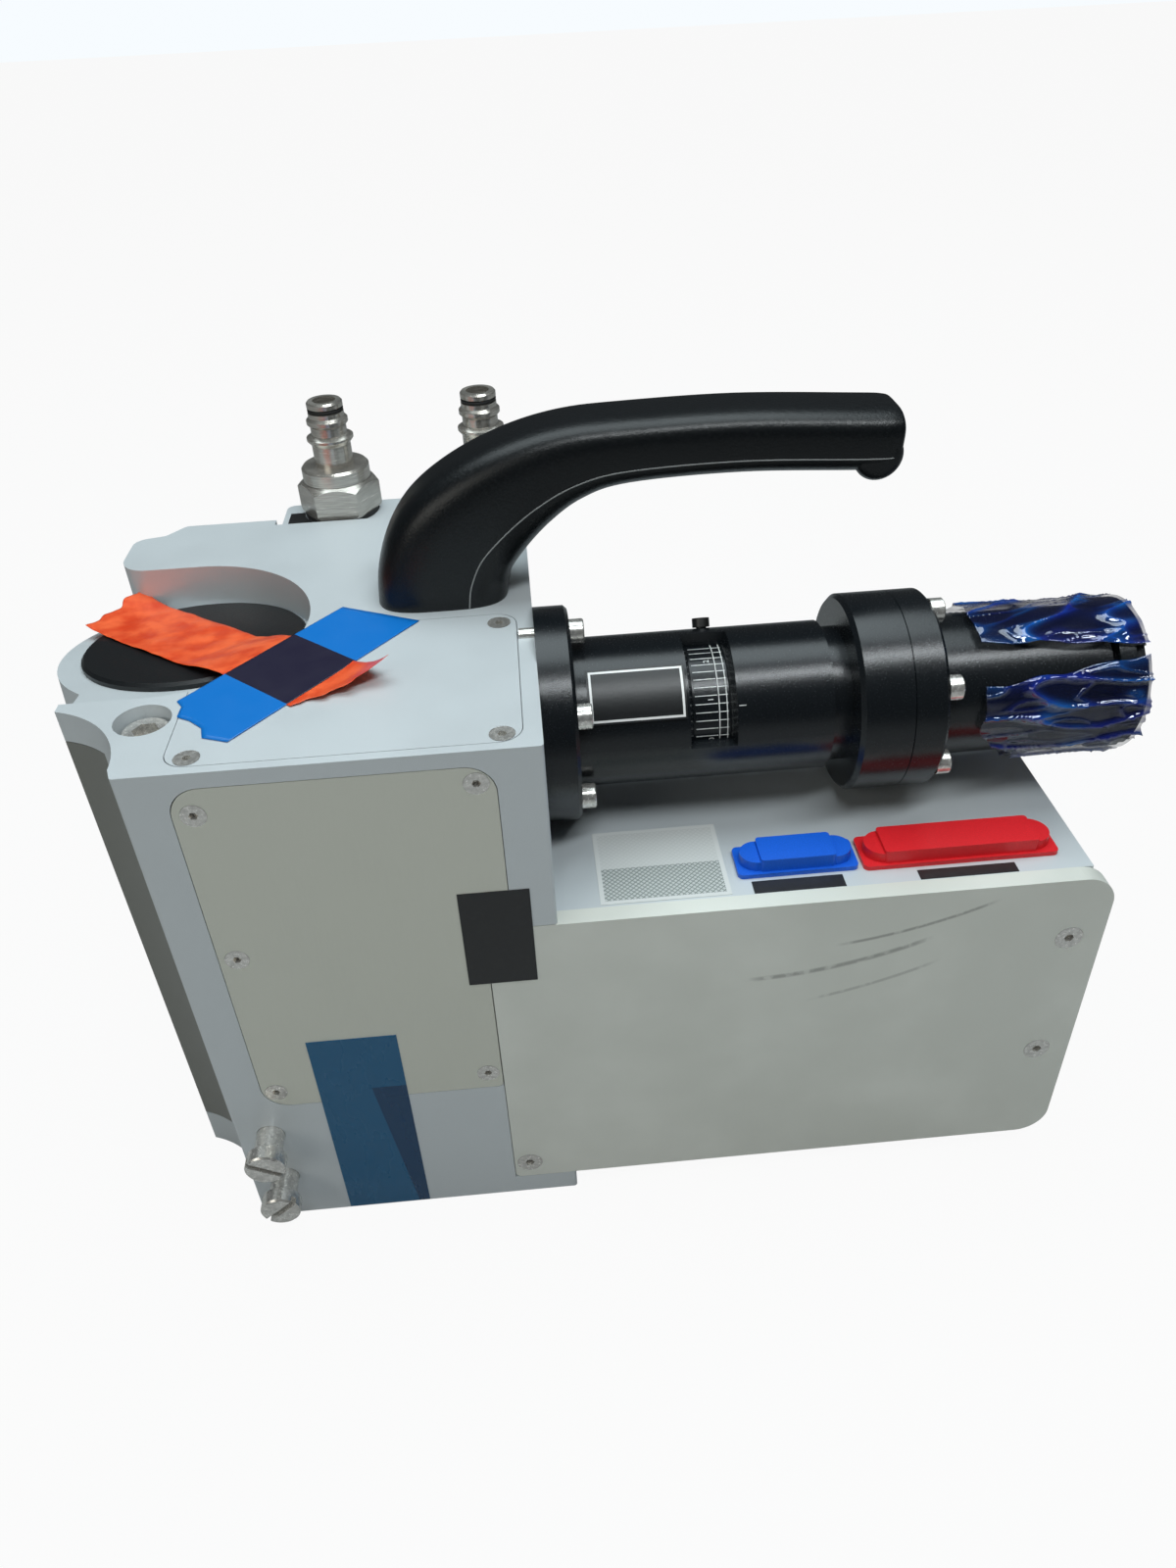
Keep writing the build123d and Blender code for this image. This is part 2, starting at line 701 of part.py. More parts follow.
with BuildPart() as handle:
    for x, z, lean, depth, width in grip_stations:
        a = radians(lean)
        station = Plane(origin=(x, handle_y, z), x_dir=(cos(a), 0, -sin(a)), z_dir=(sin(a), 0, cos(a)))
        with BuildSketch(station):
            RectangleRounded(depth, width, min(depth, width) * grip_corner)
    loft()
    add(Pos(nose_centre) * handle_nose.part)
    with Locations(*[(x, handle_y, height) for x in handle_screw_x]):
        Hole(2.5, depth=30)
save(handle.part, "handle")

with BuildPart() as handle_screws:
    with Locations(*[(x, handle_y, cavity_top) for x in handle_screw_x]):
        with Locations(Rotation(180, 0, 0)):
            add(cap_screw(4.25, 5.0, 2.5, 26.0, 4.0))
save(handle_screws.part, "handle_screws")

# ---------------------------------------------------------------- beam expander
sleeve_x = (130.0, 164.0)
expander_profile = [
    (right_x, beam_r),
    (right_x, flange_r),
    (flange_end - 1, flange_r),
    (flange_end, flange_r - 1),
    (flange_end, tube_r),
    (tube_end, tube_r),
    (tube_end, neck_r),
    (neck_end, neck_r),
    (neck_end, sleeve_r + run_fit),
    (sleeve_x[0], sleeve_r + run_fit),
    (sleeve_x[0], beam_r),
]
window_x = (139.6, 153.0)
window_low = -3.0
window_span = 101.0
window_flare = 1.6
window_cut = turned(
    [
        (window_x[0], tube_r + 0.5),
        (window_x[1], tube_r + 0.5),
        (window_x[1] - window_flare, sleeve_r),
        (window_x[0] + window_flare, sleeve_r),
    ],
    window_span,
    window_low,
)
lock_angle = 122.0
lock_x = 147.4
lock_r = 2.5

with BuildPart() as expander_body:
    add(turned(expander_profile))
    add(window_cut, mode=Mode.SUBTRACT)
    with Locations(*[plane.location for plane in flange_places]):
        Hole(flange_screw[2], depth=flange_end - right_x + 1)
    lock_point = across(lock_x, lock_angle, tube_r)
    lock_out = (0, lock_point[1] - axis_y, lock_point[2] - axis_z)
    lock_plane = Plane(origin=lock_point, x_dir=(1, 0, 0), z_dir=lock_out)
    with Locations(lock_plane.location):
        Hole(1.56, depth=6)
save(expander_body.part, "expander_body")

save(group(cap_screw(*flange_screw, 3.0), flange_places), "flange_screws")

with BuildPart() as scale_sleeve:
    add(turned([(132.0, 15.0), (132.0, sleeve_r), (163.0, sleeve_r), (163.0, 15.0)]))
save(scale_sleeve.part, "scale_sleeve")

with BuildPart() as lock_screw:
    with BuildSketch(lock_plane.offset(0.3)):
        Circle(lock_r)
    extrude(amount=2.6)
    with BuildSketch(lock_plane.offset(0.3)):
        Circle(1.5)
    extrude(amount=-3.6)
    with BuildSketch(lock_plane.offset(2.9)):
        Rectangle(6, 0.8)
    extrude(amount=-0.9, mode=Mode.SUBTRACT)
save(lock_screw.part, "lock_screw")

with BuildPart() as lens_cell:
    add(turned([(140.0, 11.0), (140.0, 14.9), (154.0, 14.9), (154.0, 11.0)]))
save(lens_cell.part, "lens_cell")

with BuildPart() as cell_lens:
    add(turned([(144.0, 0), (144.0, 11.0), (148.0, 11.0), (150.0, 0)]))
save(cell_lens.part, "cell_lens")

with BuildPart() as head_lens:
    add(turned([(102.0, 0), (104.0, beam_r), (107.0, beam_r), (109.0, 0)]))
save(head_lens.part, "head_lens")

with BuildPart() as retainer:
    add(turned([(164.0, 13.0), (164.0, sleeve_r + run_fit), (183.0, sleeve_r + run_fit), (183.0, 13.0)]))
save(retainer.part, "tube_retainer")

# ---------------------------------------------------------------- clamp rings and collimator
with BuildPart() as clamp_ring:
    add(
        turned(
            [
                (ring_start, neck_r),
                (ring_start, clamp_ring_r - 1.2),
                (ring_start + 1.2, clamp_ring_r),
                (ring_split - 0.15, clamp_ring_r),
                (ring_split, clamp_ring_r - 0.25),
                (ring_split, 15.0),
                (neck_end, 15.0),
                (neck_end, neck_r),
            ]
        )
    )
    with Locations(*[plane.location for plane in ring_places]):
        Hole(2.0, depth=20)
save(clamp_ring.part, "clamp_ring")

with BuildPart() as centring_ring:
    add(
        turned(
            [
                (ring_split, 18.0),
                (ring_split, clamp_ring_r - 0.25),
                (ring_split + 0.15, clamp_ring_r),
                (ring_end - 1.0, clamp_ring_r),
                (ring_end, clamp_ring_r - 1.0),
                (ring_end, 18.0),
            ]
        )
    )
    with Locations(*[plane.location for plane in ring_places]):
        Hole(2.0, depth=20)
save(centring_ring.part, "centring_ring")

save(group(cap_screw(3.5, 4.0, 2.0, 16.0, 3.0), ring_places), "ring_screws")

port_r = 12.5
port_depth = 26.0
receptacle_r = 17.6
with BuildPart() as collimator:
    add(
        turned(
            [
                (ring_split, 14.0),
                (ring_split, 18.0),
                (ring_end, 18.0),
                (ring_end, collimator_r),
                (collimator_end, collimator_r),
                (collimator_end, receptacle_r),
                (fibre_end, receptacle_r),
                (fibre_end, port_r),
                (fibre_end - port_depth, port_r),
                (fibre_end - port_depth, 14.0),
            ]
        )
    )
save(collimator.part, "collimator")

with BuildPart() as collimator_lens:
    add(turned([(206.0, 0), (208.0, 14.0), (212.0, 14.0), (215.0, 0)]))
save(collimator_lens.part, "collimator_lens")

lock_ring_r = 21.9
with BuildPart() as fibre_ring:
    add(
        turned(
            [
                (lock_ring_start, receptacle_r + run_fit),
                (lock_ring_start, lock_ring_r),
                (fibre_end - 0.8, lock_ring_r),
                (fibre_end, lock_ring_r - 0.8),
                (fibre_end, receptacle_r + run_fit),
            ]
        )
    )
    for k in range(4):
        with Locations(across(fibre_end - 1.5, 45 + 90 * k, lock_ring_r)):
            with Locations(Rotation(45 + 90 * k, 0, 0)):
                Box(4.0, 4.0, 4.0, mode=Mode.SUBTRACT)
save(fibre_ring.part, "fibre_ring")

# ---------------------------------------------------------------- scanners
motor_r = 11.0
motor_x_z = (62.0, 126.0)
motor_y_x = (22.0, 84.0)
shaft_r = 2.5
mirror_t = 2.0
exit_dir = (0, sin(radians(exit_tilt)), cos(radians(exit_tilt)))
mirror_x_dir = (1 / sqrt(2), 1 / sqrt(2), 0)
normal_y = (0, exit_dir[1] - 1, exit_dir[2])
motor_y_plane = Plane(origin=(0, mirror_y, axis_z), x_dir=(0, 1, 0), z_dir=(1, 0, 0))
motor_x_plane = Plane(origin=(0, axis_y, 0))
mirror_x_plane = Plane(origin=(0, axis_y, axis_z), x_dir=(0, 0, 1), z_dir=mirror_x_dir)
mirror_y_plane = Plane(origin=(0, mirror_y, axis_z), x_dir=(1, 0, 0), z_dir=normal_y)


def motor(plane, start, end):
    with BuildPart() as body:
        with BuildSketch(plane.offset(start)):
            Circle(motor_r)
        extrude(amount=end - start)
        chamfer(body.edges().filter_by(GeomType.CIRCLE), 0.8)
        with BuildSketch(plane.offset(start if plane is motor_y_plane else end)):
            Circle(shaft_r + 0.05)
        extrude(amount=12 if plane is motor_y_plane else -12, mode=Mode.SUBTRACT)
    return body.part


save(motor(motor_x_plane, *motor_x_z), "scanner_x_motor")
save(motor(motor_y_plane, *motor_y_x), "scanner_y_motor")

with BuildPart() as rotor_x:
    with BuildSketch(motor_x_plane.offset(motor_x_z[1] - 10)):
        Circle(shaft_r)
    extrude(amount=26)
    with BuildSketch(motor_x_plane.offset(134)):
        Circle(4.6)
    extrude(amount=9)
    with BuildSketch(mirror_x_plane.offset(-mirror_t)):
        with Locations((-3.0, 0)):
            Rectangle(14, 12)
    extrude(amount=mirror_t, mode=Mode.SUBTRACT)
save(rotor_x.part, "scanner_x_rotor")

with BuildPart() as mirror_x:
    with BuildSketch(mirror_x_plane.offset(-mirror_t)) as face:
        Rectangle(15, 11)
        chamfer(face.vertices().group_by(Axis.X)[-1], 2.0)
    extrude(amount=mirror_t)
save(mirror_x.part, "scanner_x_mirror")

with BuildPart() as rotor_y:
    with BuildSketch(motor_y_plane.offset(motor_y_x[0] - 6)):
        Circle(shaft_r)
    extrude(amount=16)
    with BuildSketch(motor_y_plane.offset(12)):
        Circle(4.6)
    extrude(amount=8)
    with BuildSketch(mirror_y_plane.offset(-mirror_t)):
        Rectangle(36, 12)
    extrude(amount=mirror_t, mode=Mode.SUBTRACT)
save(rotor_y.part, "scanner_y_rotor")

with BuildPart() as mirror_y_plate:
    with BuildSketch(mirror_y_plane.offset(-mirror_t)) as face:
        Rectangle(30, 12)
        chamfer(face.vertices().group_by(Axis.X)[0], 3.0)
    extrude(amount=mirror_t)
save(mirror_y_plate.part, "scanner_y_mirror")

with BuildPart() as scanner_block:
    block((-19, 44), (-39.0, 11.0), (92.0, 106.0))
    block((-16, 16), (-39.0, -11.0), (106.0, 122.0))
    block((24, 44), (-16.0, 11.0), (106.0, 157.0))
    with BuildSketch(motor_x_plane.offset(90)):
        Circle(motor_r)
    extrude(amount=40, mode=Mode.SUBTRACT)
    with BuildSketch(motor_y_plane.offset(20)):
        Circle(motor_r)
    extrude(amount=30, mode=Mode.SUBTRACT)
save(scanner_block.part, "scanner_block")

# ---------------------------------------------------------------- captive screws
captive_out = 12.8
captive_head_r = 6.0
captive_head_h = 5.0
captive_names = ("captive_screw_upper", "captive_screw_lower")
for name, x, z, turn in zip(captive_names, captive_x, captive_z, (-32.0, 40.0)):
    with BuildPart() as captive:
        with BuildSketch(facing_front(x, z, front_y - captive_out)):
            Circle(captive_head_r)
        extrude(amount=-captive_head_h)
        chamfer(captive.edges().filter_by(GeomType.CIRCLE), 0.5)
        with BuildSketch(facing_front(x, z, front_y - captive_out + captive_head_h)):
            Circle(captive_shank_r)
        extrude(amount=-(captive_out - captive_head_h + captive_depth))
        with BuildSketch(facing_front(x, z, front_y - captive_out)):
            with Locations(Rotation(0, 0, turn)):
                Rectangle(14, 1.8)
        extrude(amount=-2.2, mode=Mode.SUBTRACT)
    save(captive.part, name)

# ---------------------------------------------------------------- labels and tapes
skin = 0.2
tape_t = 0.15
tape_w = 25.0
with BuildPart() as type_plate:
    plate_r = tube_r + 0.4
    add(turned([(112.0, tube_r), (112.0, plate_r), (139.0, plate_r), (139.0, tube_r)], 41.0, 22.0))
save(type_plate.part, "type_plate")

with BuildPart() as seal_label:
    block((73.4, 92.4), (front_y - skin, front_y), (97.8, 131.4))
save(seal_label.part, "seal_label")

with BuildPart() as test_label:
    block((111.2, 147.4), (-73.0, -42.0), (box_z[1], box_z[1] + skin))
save(test_label.part, "test_label")

with BuildPart() as socket_labels:
    block((153.5, 179.0), (-73.4, -68.6), (box_z[1], box_z[1] + skin))
    block((199.8, 227.4), (-73.4, -69.6), (box_z[1], box_z[1] + skin))
save(socket_labels.part, "socket_labels")

with BuildPart() as block_label:
    block((19.0, 31.0), (65.0, 77.0), (block_top, block_top + skin))
    with Locations((nipple_x[0], nipple_y, block_top)):
        Cylinder(12.8, 2, mode=Mode.SUBTRACT)
save(block_label.part, "block_label")

with BuildPart() as front_tape:
    block((24.8, 50.6), (front_y - tape_t, front_y), (0.4, 80.2))
save(front_tape.part, "front_tape")


def strip(stations, width, thickness):
    """A flat strip through stations of (centre, sideways direction, forward direction)."""
    with BuildPart() as band:
        for centre, side, forward in stations:
            with BuildSketch(Plane(origin=centre, x_dir=side, z_dir=forward)):
                Rectangle(width, thickness, align=(Align.CENTER, Align.MIN))
        loft(ruled=True)
    return band.part


# The orange strip runs across the cap, up over the recess's edge and onto the lid.
strip_way = (0.728, -0.686, 0.0)
strip_side = (0.686, 0.728, 0.0)
cap_side = (0.686, 0.728, -0.096)
cap_way = (0.728, -0.686, 0.09)
orange_stations = [
    ((-26.0, 22.5, 166.2), cap_side, cap_way),
    ((18.5, -18.9, 171.5), cap_side, cap_way),
    ((24.3, -24.6, height), strip_side, strip_way),
    ((50.0, -48.8, height), strip_side, strip_way),
]
save(strip(orange_stations, tape_w, tape_t), "orange_tape")

with BuildPart() as blue_tape:
    with BuildSketch(Plane.XY.offset(height + tape_t)):
        with BuildLine():
            Polyline((5.8, -46.0), (44.2, -0.1), (66.9, -12.0), (22.0, -67.1), (14.5, -64.8), close=True)
        make_face()
    extrude(amount=tape_t)
save(blue_tape.part, "blue_tape")

# A loose film wrapped round the fibre end, open at the service side.
film_x = (226.0, fibre_end + 0.9)
film_r = lock_ring_r + 0.1
with BuildPart() as film_wrap:
    film_outer = film_r + skin
    film_start, film_end = film_x
    film_inner_edge = [(film_end, film_r), (film_start, film_r)]
    film_profile = [(film_start, film_outer), (film_end, film_outer)] + film_inner_edge
    add(turned(film_profile, 315.0, 35.0))
save(film_wrap.part, "film_wrap")
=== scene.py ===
# %% [markdown]
# A laser scan head in bead-blasted aluminium: a tall housing with a capped beam exit,
# a black beam expander with a fibre collimator, a flat driver box and a carrying handle.
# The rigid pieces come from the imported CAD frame. This lesson gives them their finishes and
# adds what CAD leaves plain: the moulded handle, the graduated scale, the tapes and the film.

import math

import bpy
from mathutils import Matrix, Vector, noise


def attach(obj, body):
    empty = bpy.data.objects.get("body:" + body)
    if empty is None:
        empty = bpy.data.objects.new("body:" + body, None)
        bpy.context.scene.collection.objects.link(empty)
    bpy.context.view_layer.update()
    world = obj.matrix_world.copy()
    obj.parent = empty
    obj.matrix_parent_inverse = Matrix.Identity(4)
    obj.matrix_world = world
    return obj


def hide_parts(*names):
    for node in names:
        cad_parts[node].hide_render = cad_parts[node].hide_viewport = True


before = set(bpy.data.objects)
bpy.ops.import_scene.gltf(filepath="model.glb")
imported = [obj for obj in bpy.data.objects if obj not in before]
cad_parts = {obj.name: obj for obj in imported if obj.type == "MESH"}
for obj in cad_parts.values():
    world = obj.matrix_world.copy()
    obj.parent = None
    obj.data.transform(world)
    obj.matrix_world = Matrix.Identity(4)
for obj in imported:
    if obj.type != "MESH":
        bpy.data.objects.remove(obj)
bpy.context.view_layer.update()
print("CAD nodes:", len(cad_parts))

# %% [markdown]
# The sizes that several pieces share are named once. They are in metres, like the frame.
# The optical axis runs along +X, and an angle round it is 0 towards -Y and 90 upwards. The
# orange strip crosses the lid at a slant, given as a way along it and a way to its side.

# %% Shared sizes
axis_y = -0.0244
axis_z = 0.1494
tube_r = 0.0215
sleeve_r = 0.0176
lid_z = 0.176
exit_tilt = math.radians(7.5)
strip_way = Vector((0.728, -0.686, 0.0))
strip_side = Vector((0.686, 0.728, 0.0))


def round_axis(x, degrees, radius):
    """The point at an angle round the optical axis."""
    a = math.radians(degrees)
    return Vector((x, axis_y - radius * math.cos(a), axis_z + radius * math.sin(a)))


print("axis height", axis_z)

# %% [markdown]
# Masks for wear, borders and grain are sums and products of node values. Wrapping a socket in
# a small class with Python's operators keeps such sums readable, where placing each Math node
# by hand would hide them. The same class serves materials and Geometry Nodes.

# %% Sums on sockets
class Wire:
    """A node's output that takes part in Python arithmetic."""

    def __init__(self, tree, socket):
        self.tree = tree
        self.socket = socket

    def math(self, operation, *others, first=None):
        step = self.tree.nodes.new("ShaderNodeMath")
        step.operation = operation
        values = (self, *others) if first is None else (first, self)
        for slot, value in zip(step.inputs, values):
            plug(self.tree, slot, value)
        return Wire(self.tree, step.outputs[0])

    def __add__(self, other):
        return self.math("ADD", other)

    def __mul__(self, other):
        return self.math("MULTIPLY", other)

    def __sub__(self, other):
        return self.math("SUBTRACT", other)

    def __truediv__(self, other):
        return self.math("DIVIDE", other)

    def __rsub__(self, other):
        return self.math("SUBTRACT", first=other)

    def __gt__(self, other):
        return self.math("GREATER_THAN", other)

    def __lt__(self, other):
        return self.math("LESS_THAN", other)

    def __abs__(self):
        return self.math("ABSOLUTE")

    __radd__ = __add__
    __rmul__ = __mul__

    def ramp(self, low, high):
        """0 below low, 1 above high and smooth between."""
        step = self.tree.nodes.new("ShaderNodeMapRange")
        step.interpolation_type = "SMOOTHSTEP"
        plug(self.tree, step.inputs[0], self)
        step.inputs[1].default_value = low
        step.inputs[2].default_value = high
        return Wire(self.tree, step.outputs[0])


def plug(tree, slot, value):
    """Links a wire to a socket, or sets the socket's own value."""
    if isinstance(value, Wire):
        tree.links.new(value.socket, slot)
    elif isinstance(value, (tuple, list)) and len(value) == 3 and slot.type == "RGBA":
        slot.default_value = (*value, 1.0)
    else:
        slot.default_value = value


def add_node(tree, kind, settings=(), sockets=(), out=0):
    """One node: its settings first, then its sockets by name or number."""
    step = tree.nodes.new(kind)
    for key, value in dict(settings).items():
        setattr(step, key, value)
    for key, value in dict(sockets).items():
        plug(tree, step.inputs[key], value)
    return Wire(tree, step.outputs[out])


class Finish:
    """A material whose shader is fed from object coordinates."""

    def __init__(self, name, color, roughness, metallic=0.0, **plain):
        self.material = bpy.data.materials.new(name)
        self.material.use_nodes = True
        self.tree = self.material.node_tree
        self.shader = self.tree.nodes["Principled BSDF"]
        self.set(Base_Color=color, Roughness=roughness, Metallic=metallic, **plain)
        self.place = self.node("ShaderNodeTexCoord", out="Object")
        split = self.tree.nodes.new("ShaderNodeSeparateXYZ")
        plug(self.tree, split.inputs[0], self.place)
        self.x, self.y, self.z = [Wire(self.tree, s) for s in split.outputs]

    def node(self, kind, settings=(), sockets=(), out=0):
        return add_node(self.tree, kind, settings, sockets, out)

    def set(self, **sockets):
        for key, value in sockets.items():
            plug(self.tree, self.shader.inputs[key.replace("_", " ")], value)

    def noise(self, scale, detail=3.0, stretch=None):
        place = self.place
        if stretch is not None:
            place = self.node("ShaderNodeMapping", (), {"Vector": place, "Scale": stretch})
        sockets = {"Vector": place, "Scale": scale, "Detail": detail}
        return self.node("ShaderNodeTexNoise", (), sockets)

    def mix(self, factor, first, second):
        sockets = {0: factor, 6: first, 7: second}
        return self.node("ShaderNodeMix", {"data_type": "RGBA"}, sockets, out=2)

    def bump(self, height, distance, strength=1.0):
        sockets = {"Height": height, "Distance": distance, "Strength": strength}
        self.set(Normal=self.node("ShaderNodeBump", (), sockets))


print("helpers ready")

# %% [markdown]
# The housing, covers and driver box are milled aluminium, bead blasted and clear anodised.
# A blasted surface is matt with tiny pits. A fully metallic shader would mirror the dark side
# of the room, so this one is a quarter metallic, with a fine noise in its bump and a broad one
# in its colour. The front cover's grain is drawn out upwards and its colour is warmer.

# %% Aluminium finishes
pit_shade = 0.62


def blasted_aluminium(name, color, grain, stretch=None):
    finish = Finish(name, color, 0.42, metallic=0.25)
    broad = finish.noise(38.0, 4.0).ramp(0.3, 0.7)
    fine = finish.noise(grain, 2.0, stretch)
    shade = broad * 0.07 + fine * 0.1 + 0.91
    dark = tuple(c * pit_shade for c in color)
    finish.set(
        Base_Color=finish.mix(shade, dark, color),
        Roughness=broad * 0.08 + fine * 0.14 + 0.32,
    )
    finish.bump(fine, 0.00006, 0.6)
    return finish


silver = blasted_aluminium("silver_anodised", (0.57, 0.61, 0.63), 2600.0)
cover_grey = blasted_aluminium("cover_anodised", (0.6, 0.61, 0.54), 1500.0, (1.0, 1.0, 0.12))
# The left cover's colour is darkened to paint the shade that falls on it in the concave scallop of
# the left flank.
shadow_grey = blasted_aluminium("dark_anodised", (0.2, 0.203, 0.185), 2200.0)
print("aluminium finishes:", silver.material.name, cover_grey.material.name)

# %% [markdown]
# The large side plate has been knocked and carried about. Its scuffs are long thin arcs where
# something dark rubbed across it, so they are bands round a far centre, broken up by noise.
# The back plate wears the same finish unscuffed, so the wear stops at y = 0.

# %% Scuffed side plate
plate_grey = blasted_aluminium("plate_anodised", (0.72, 0.735, 0.68), 2400.0)
scuff_fade = 0.008


def arc_scuff(finish, centre, radius, width, low_x, high_x):
    """A thin dark arc in the XZ plane, faded at its ends."""
    dx = finish.x - centre[0]
    dz = finish.z - centre[1]
    reach = (dx * dx + dz * dz).math("SQRT")
    band = 1 - (abs(reach - radius)).ramp(width * 0.2, width)
    far_end = finish.x.ramp(high_x - scuff_fade, high_x)
    return band * (finish.x.ramp(low_x, low_x + scuff_fade) * (1 - far_end))


scuffs = arc_scuff(plate_grey, (0.150, 0.230), 0.140, 0.0012, 0.150, 0.205)
scuffs = scuffs + arc_scuff(plate_grey, (0.160, 0.250), 0.150, 0.0008, 0.175, 0.222)
scuffs = scuffs + arc_scuff(plate_grey, (0.140, 0.240), 0.163, 0.0009, 0.168, 0.208) * 0.6
broken = plate_grey.noise(300.0, 4.0).ramp(0.3, 0.52) * 0.75 + 0.2
clouds = plate_grey.noise(24.0, 3.0).ramp(0.35, 0.75)
on_front = plate_grey.y < 0.0
wear_strength = 0.5
wear = (scuffs * broken).math("MINIMUM", 1.0) * wear_strength * on_front
plate_color = plate_grey.mix(clouds, (0.66, 0.675, 0.62), (0.74, 0.755, 0.7))
plate_grey.set(Base_Color=plate_grey.mix(wear, plate_color, (0.06, 0.055, 0.055)))
print("scuffs on", plate_grey.material.name)

# %% [markdown]
# Black anodising keeps the bead-blasted grain but reflects light in a soft streak, so the
# shader is dark and hardly metallic, with grain deep enough to sparkle. Moulded plastic and
# rubber take the same recipe with other depths of grain.

# %% Black metal, moulded plastic and rubber
def grained(name, color, roughness, scale, depth, metallic=0.0, **plain):
    finish = Finish(name, color, roughness, metallic, **plain)
    fine = finish.noise(scale, 3.0)
    light = tuple(min(1.0, c * 1.25 + 0.001) for c in color)
    finish.set(
        Base_Color=finish.mix(fine.ramp(0.45, 0.75), color, light),
        Roughness=fine * 0.2 + roughness - 0.1,
    )
    finish.bump(fine, depth, 0.7)
    return finish


black_metal = grained("black_anodised", (0.006, 0.008, 0.01), 0.24, 2600.0, 0.00005, 0.15)
grip_black = grained(
    "black_handle", (0.003, 0.0042, 0.0052), 0.33, 1500.0, 0.0001, Specular_IOR_Level=0.34
)
cap_black = grained(
    "black_cap", (0.006, 0.007, 0.008), 0.36, 1800.0, 0.00003, Specular_IOR_Level=0.4
)
seal_black = grained("black_rubber", (0.01, 0.01, 0.01), 0.7, 1200.0, 0.00004)
cap_blue = grained(
    "blue_rubber", (0.006, 0.1, 0.58), 0.38, 3400.0, 0.000015, Specular_IOR_Level=0.4
)
cap_red = grained(
    "red_rubber", (0.62, 0.014, 0.02), 0.38, 3400.0, 0.000015, Specular_IOR_Level=0.4
)
label_black = grained("black_label", (0.01, 0.01, 0.011), 0.38, 700.0, 0.00002)
board_green = grained("circuit_board", (0.01, 0.1, 0.04), 0.4, 500.0, 0.00003)
print("black finishes ready")

# %% [markdown]
# Screws and hose nipples are turned parts: rings of fine tool marks round each axis would need
# one centre per screw, so a noise stands for them, stretched on the nipples. The lock screw is
# blackened, which is the same recipe in a dark colour.

# %% Bright metals and glass
def turned_metal(name, color, roughness, marks):
    finish = Finish(name, color, roughness, metallic=0.75)
    fine = finish.noise(900.0, 3.0, marks)
    finish.set(Base_Color=finish.mix(fine.ramp(0.35, 0.7), tuple(c * 0.7 for c in color), color))
    finish.set(Roughness=fine * 0.16 + roughness - 0.08)
    finish.bump(fine, 0.00004, 0.5)
    return finish


screw_steel = turned_metal("screw_steel", (0.8, 0.78, 0.74), 0.25, (1.0, 1.0, 1.0))
nickel = turned_metal("nickel", (0.6, 0.57, 0.52), 0.24, (0.2, 0.2, 3.0))
raw_metal = turned_metal("raw_aluminium", (0.72, 0.72, 0.72), 0.35, (1.0, 1.0, 1.0))
blackened = turned_metal("blackened_screw", (0.05, 0.05, 0.05), 0.4, (1.0, 1.0, 1.0))
mirror = Finish("scan_mirror", (0.9, 0.87, 0.8), 0.03, 1.0)
glass = Finish("coated_glass", (0.5, 0.6, 0.62), 0.03, 0.0, Transmission_Weight=0.9)
print("bright finishes ready")

# %% [markdown]
# The test label is a silvery foil with a fine safety pattern of crossing diagonals, and it
# stays blank here. The pattern is two folded sums of x and y.

# %% Silver label
label_silver = Finish("silver_label", (0.42, 0.45, 0.44), 0.35)
pitch = 0.0016
line_share = 0.13
label_x = (0.1125, 0.1461)
label_y = (-0.0717, -0.0433)
halves_meet = -0.0585
weave_a = abs(((label_silver.x + label_silver.y) / pitch).math("FRACT") - 0.5)
weave_b = abs(((label_silver.x - label_silver.y) / pitch).math("FRACT") - 0.5)
lattice = (weave_a < line_share).math("MAXIMUM", weave_b < line_share)
edge_x = (label_silver.x > label_x[0]) * (label_silver.x < label_x[1])
edge_y = (label_silver.y > label_y[0]) * (label_silver.y < label_y[1])
upper = label_silver.y > halves_meet
inside = edge_x * edge_y
plain_half = label_silver.mix(lattice * 0.25, (0.6, 0.62, 0.61), (0.4, 0.43, 0.42))
worked_half = label_silver.mix(lattice, (0.5, 0.53, 0.52), (0.2, 0.23, 0.22))
face = label_silver.mix(upper, worked_half, plain_half)
label_silver.set(Base_Color=label_silver.mix(inside, (0.62, 0.64, 0.63), face))
print("label pitch", pitch)

# %% [markdown]
# The type plate is black with a white frame, and stays blank. It lies on the tube, so the
# frame's long sides follow the angle round the optical axis.

# %% Type plate
plate_black = grained("type_plate_black", (0.01, 0.011, 0.012), 0.38, 1500.0, 0.00003)
plate_middle, plate_half = 0.1255, 0.0135
turn = (plate_black.z - axis_z).math("ARCTAN2", axis_y - plate_black.y)
arc = turn * tube_r
arc_low = math.radians(22.0) * tube_r
arc_high = math.radians(63.0) * tube_r
past_x = abs(plate_black.x - plate_middle) - plate_half
past_arc = abs(arc - (arc_low + arc_high) / 2) - (arc_high - arc_low) / 2
rim = past_x.math("MAXIMUM", past_arc)
frame_line = (rim > -0.00125) * (rim < -0.0006)
plate_black.set(
    Base_Color=plate_black.mix(frame_line, (0.01, 0.011, 0.012), (0.8, 0.8, 0.79))
)
print("type plate arc", round(arc_high - arc_low, 4))

# %% [markdown]
# The tapes are thin coloured plastic film. A little light passes, so the seams and screw
# heads under them show, and two layers together look nearly black. A second strip lies over
# part of the front tape, which is only a darker zone past a slanting line.

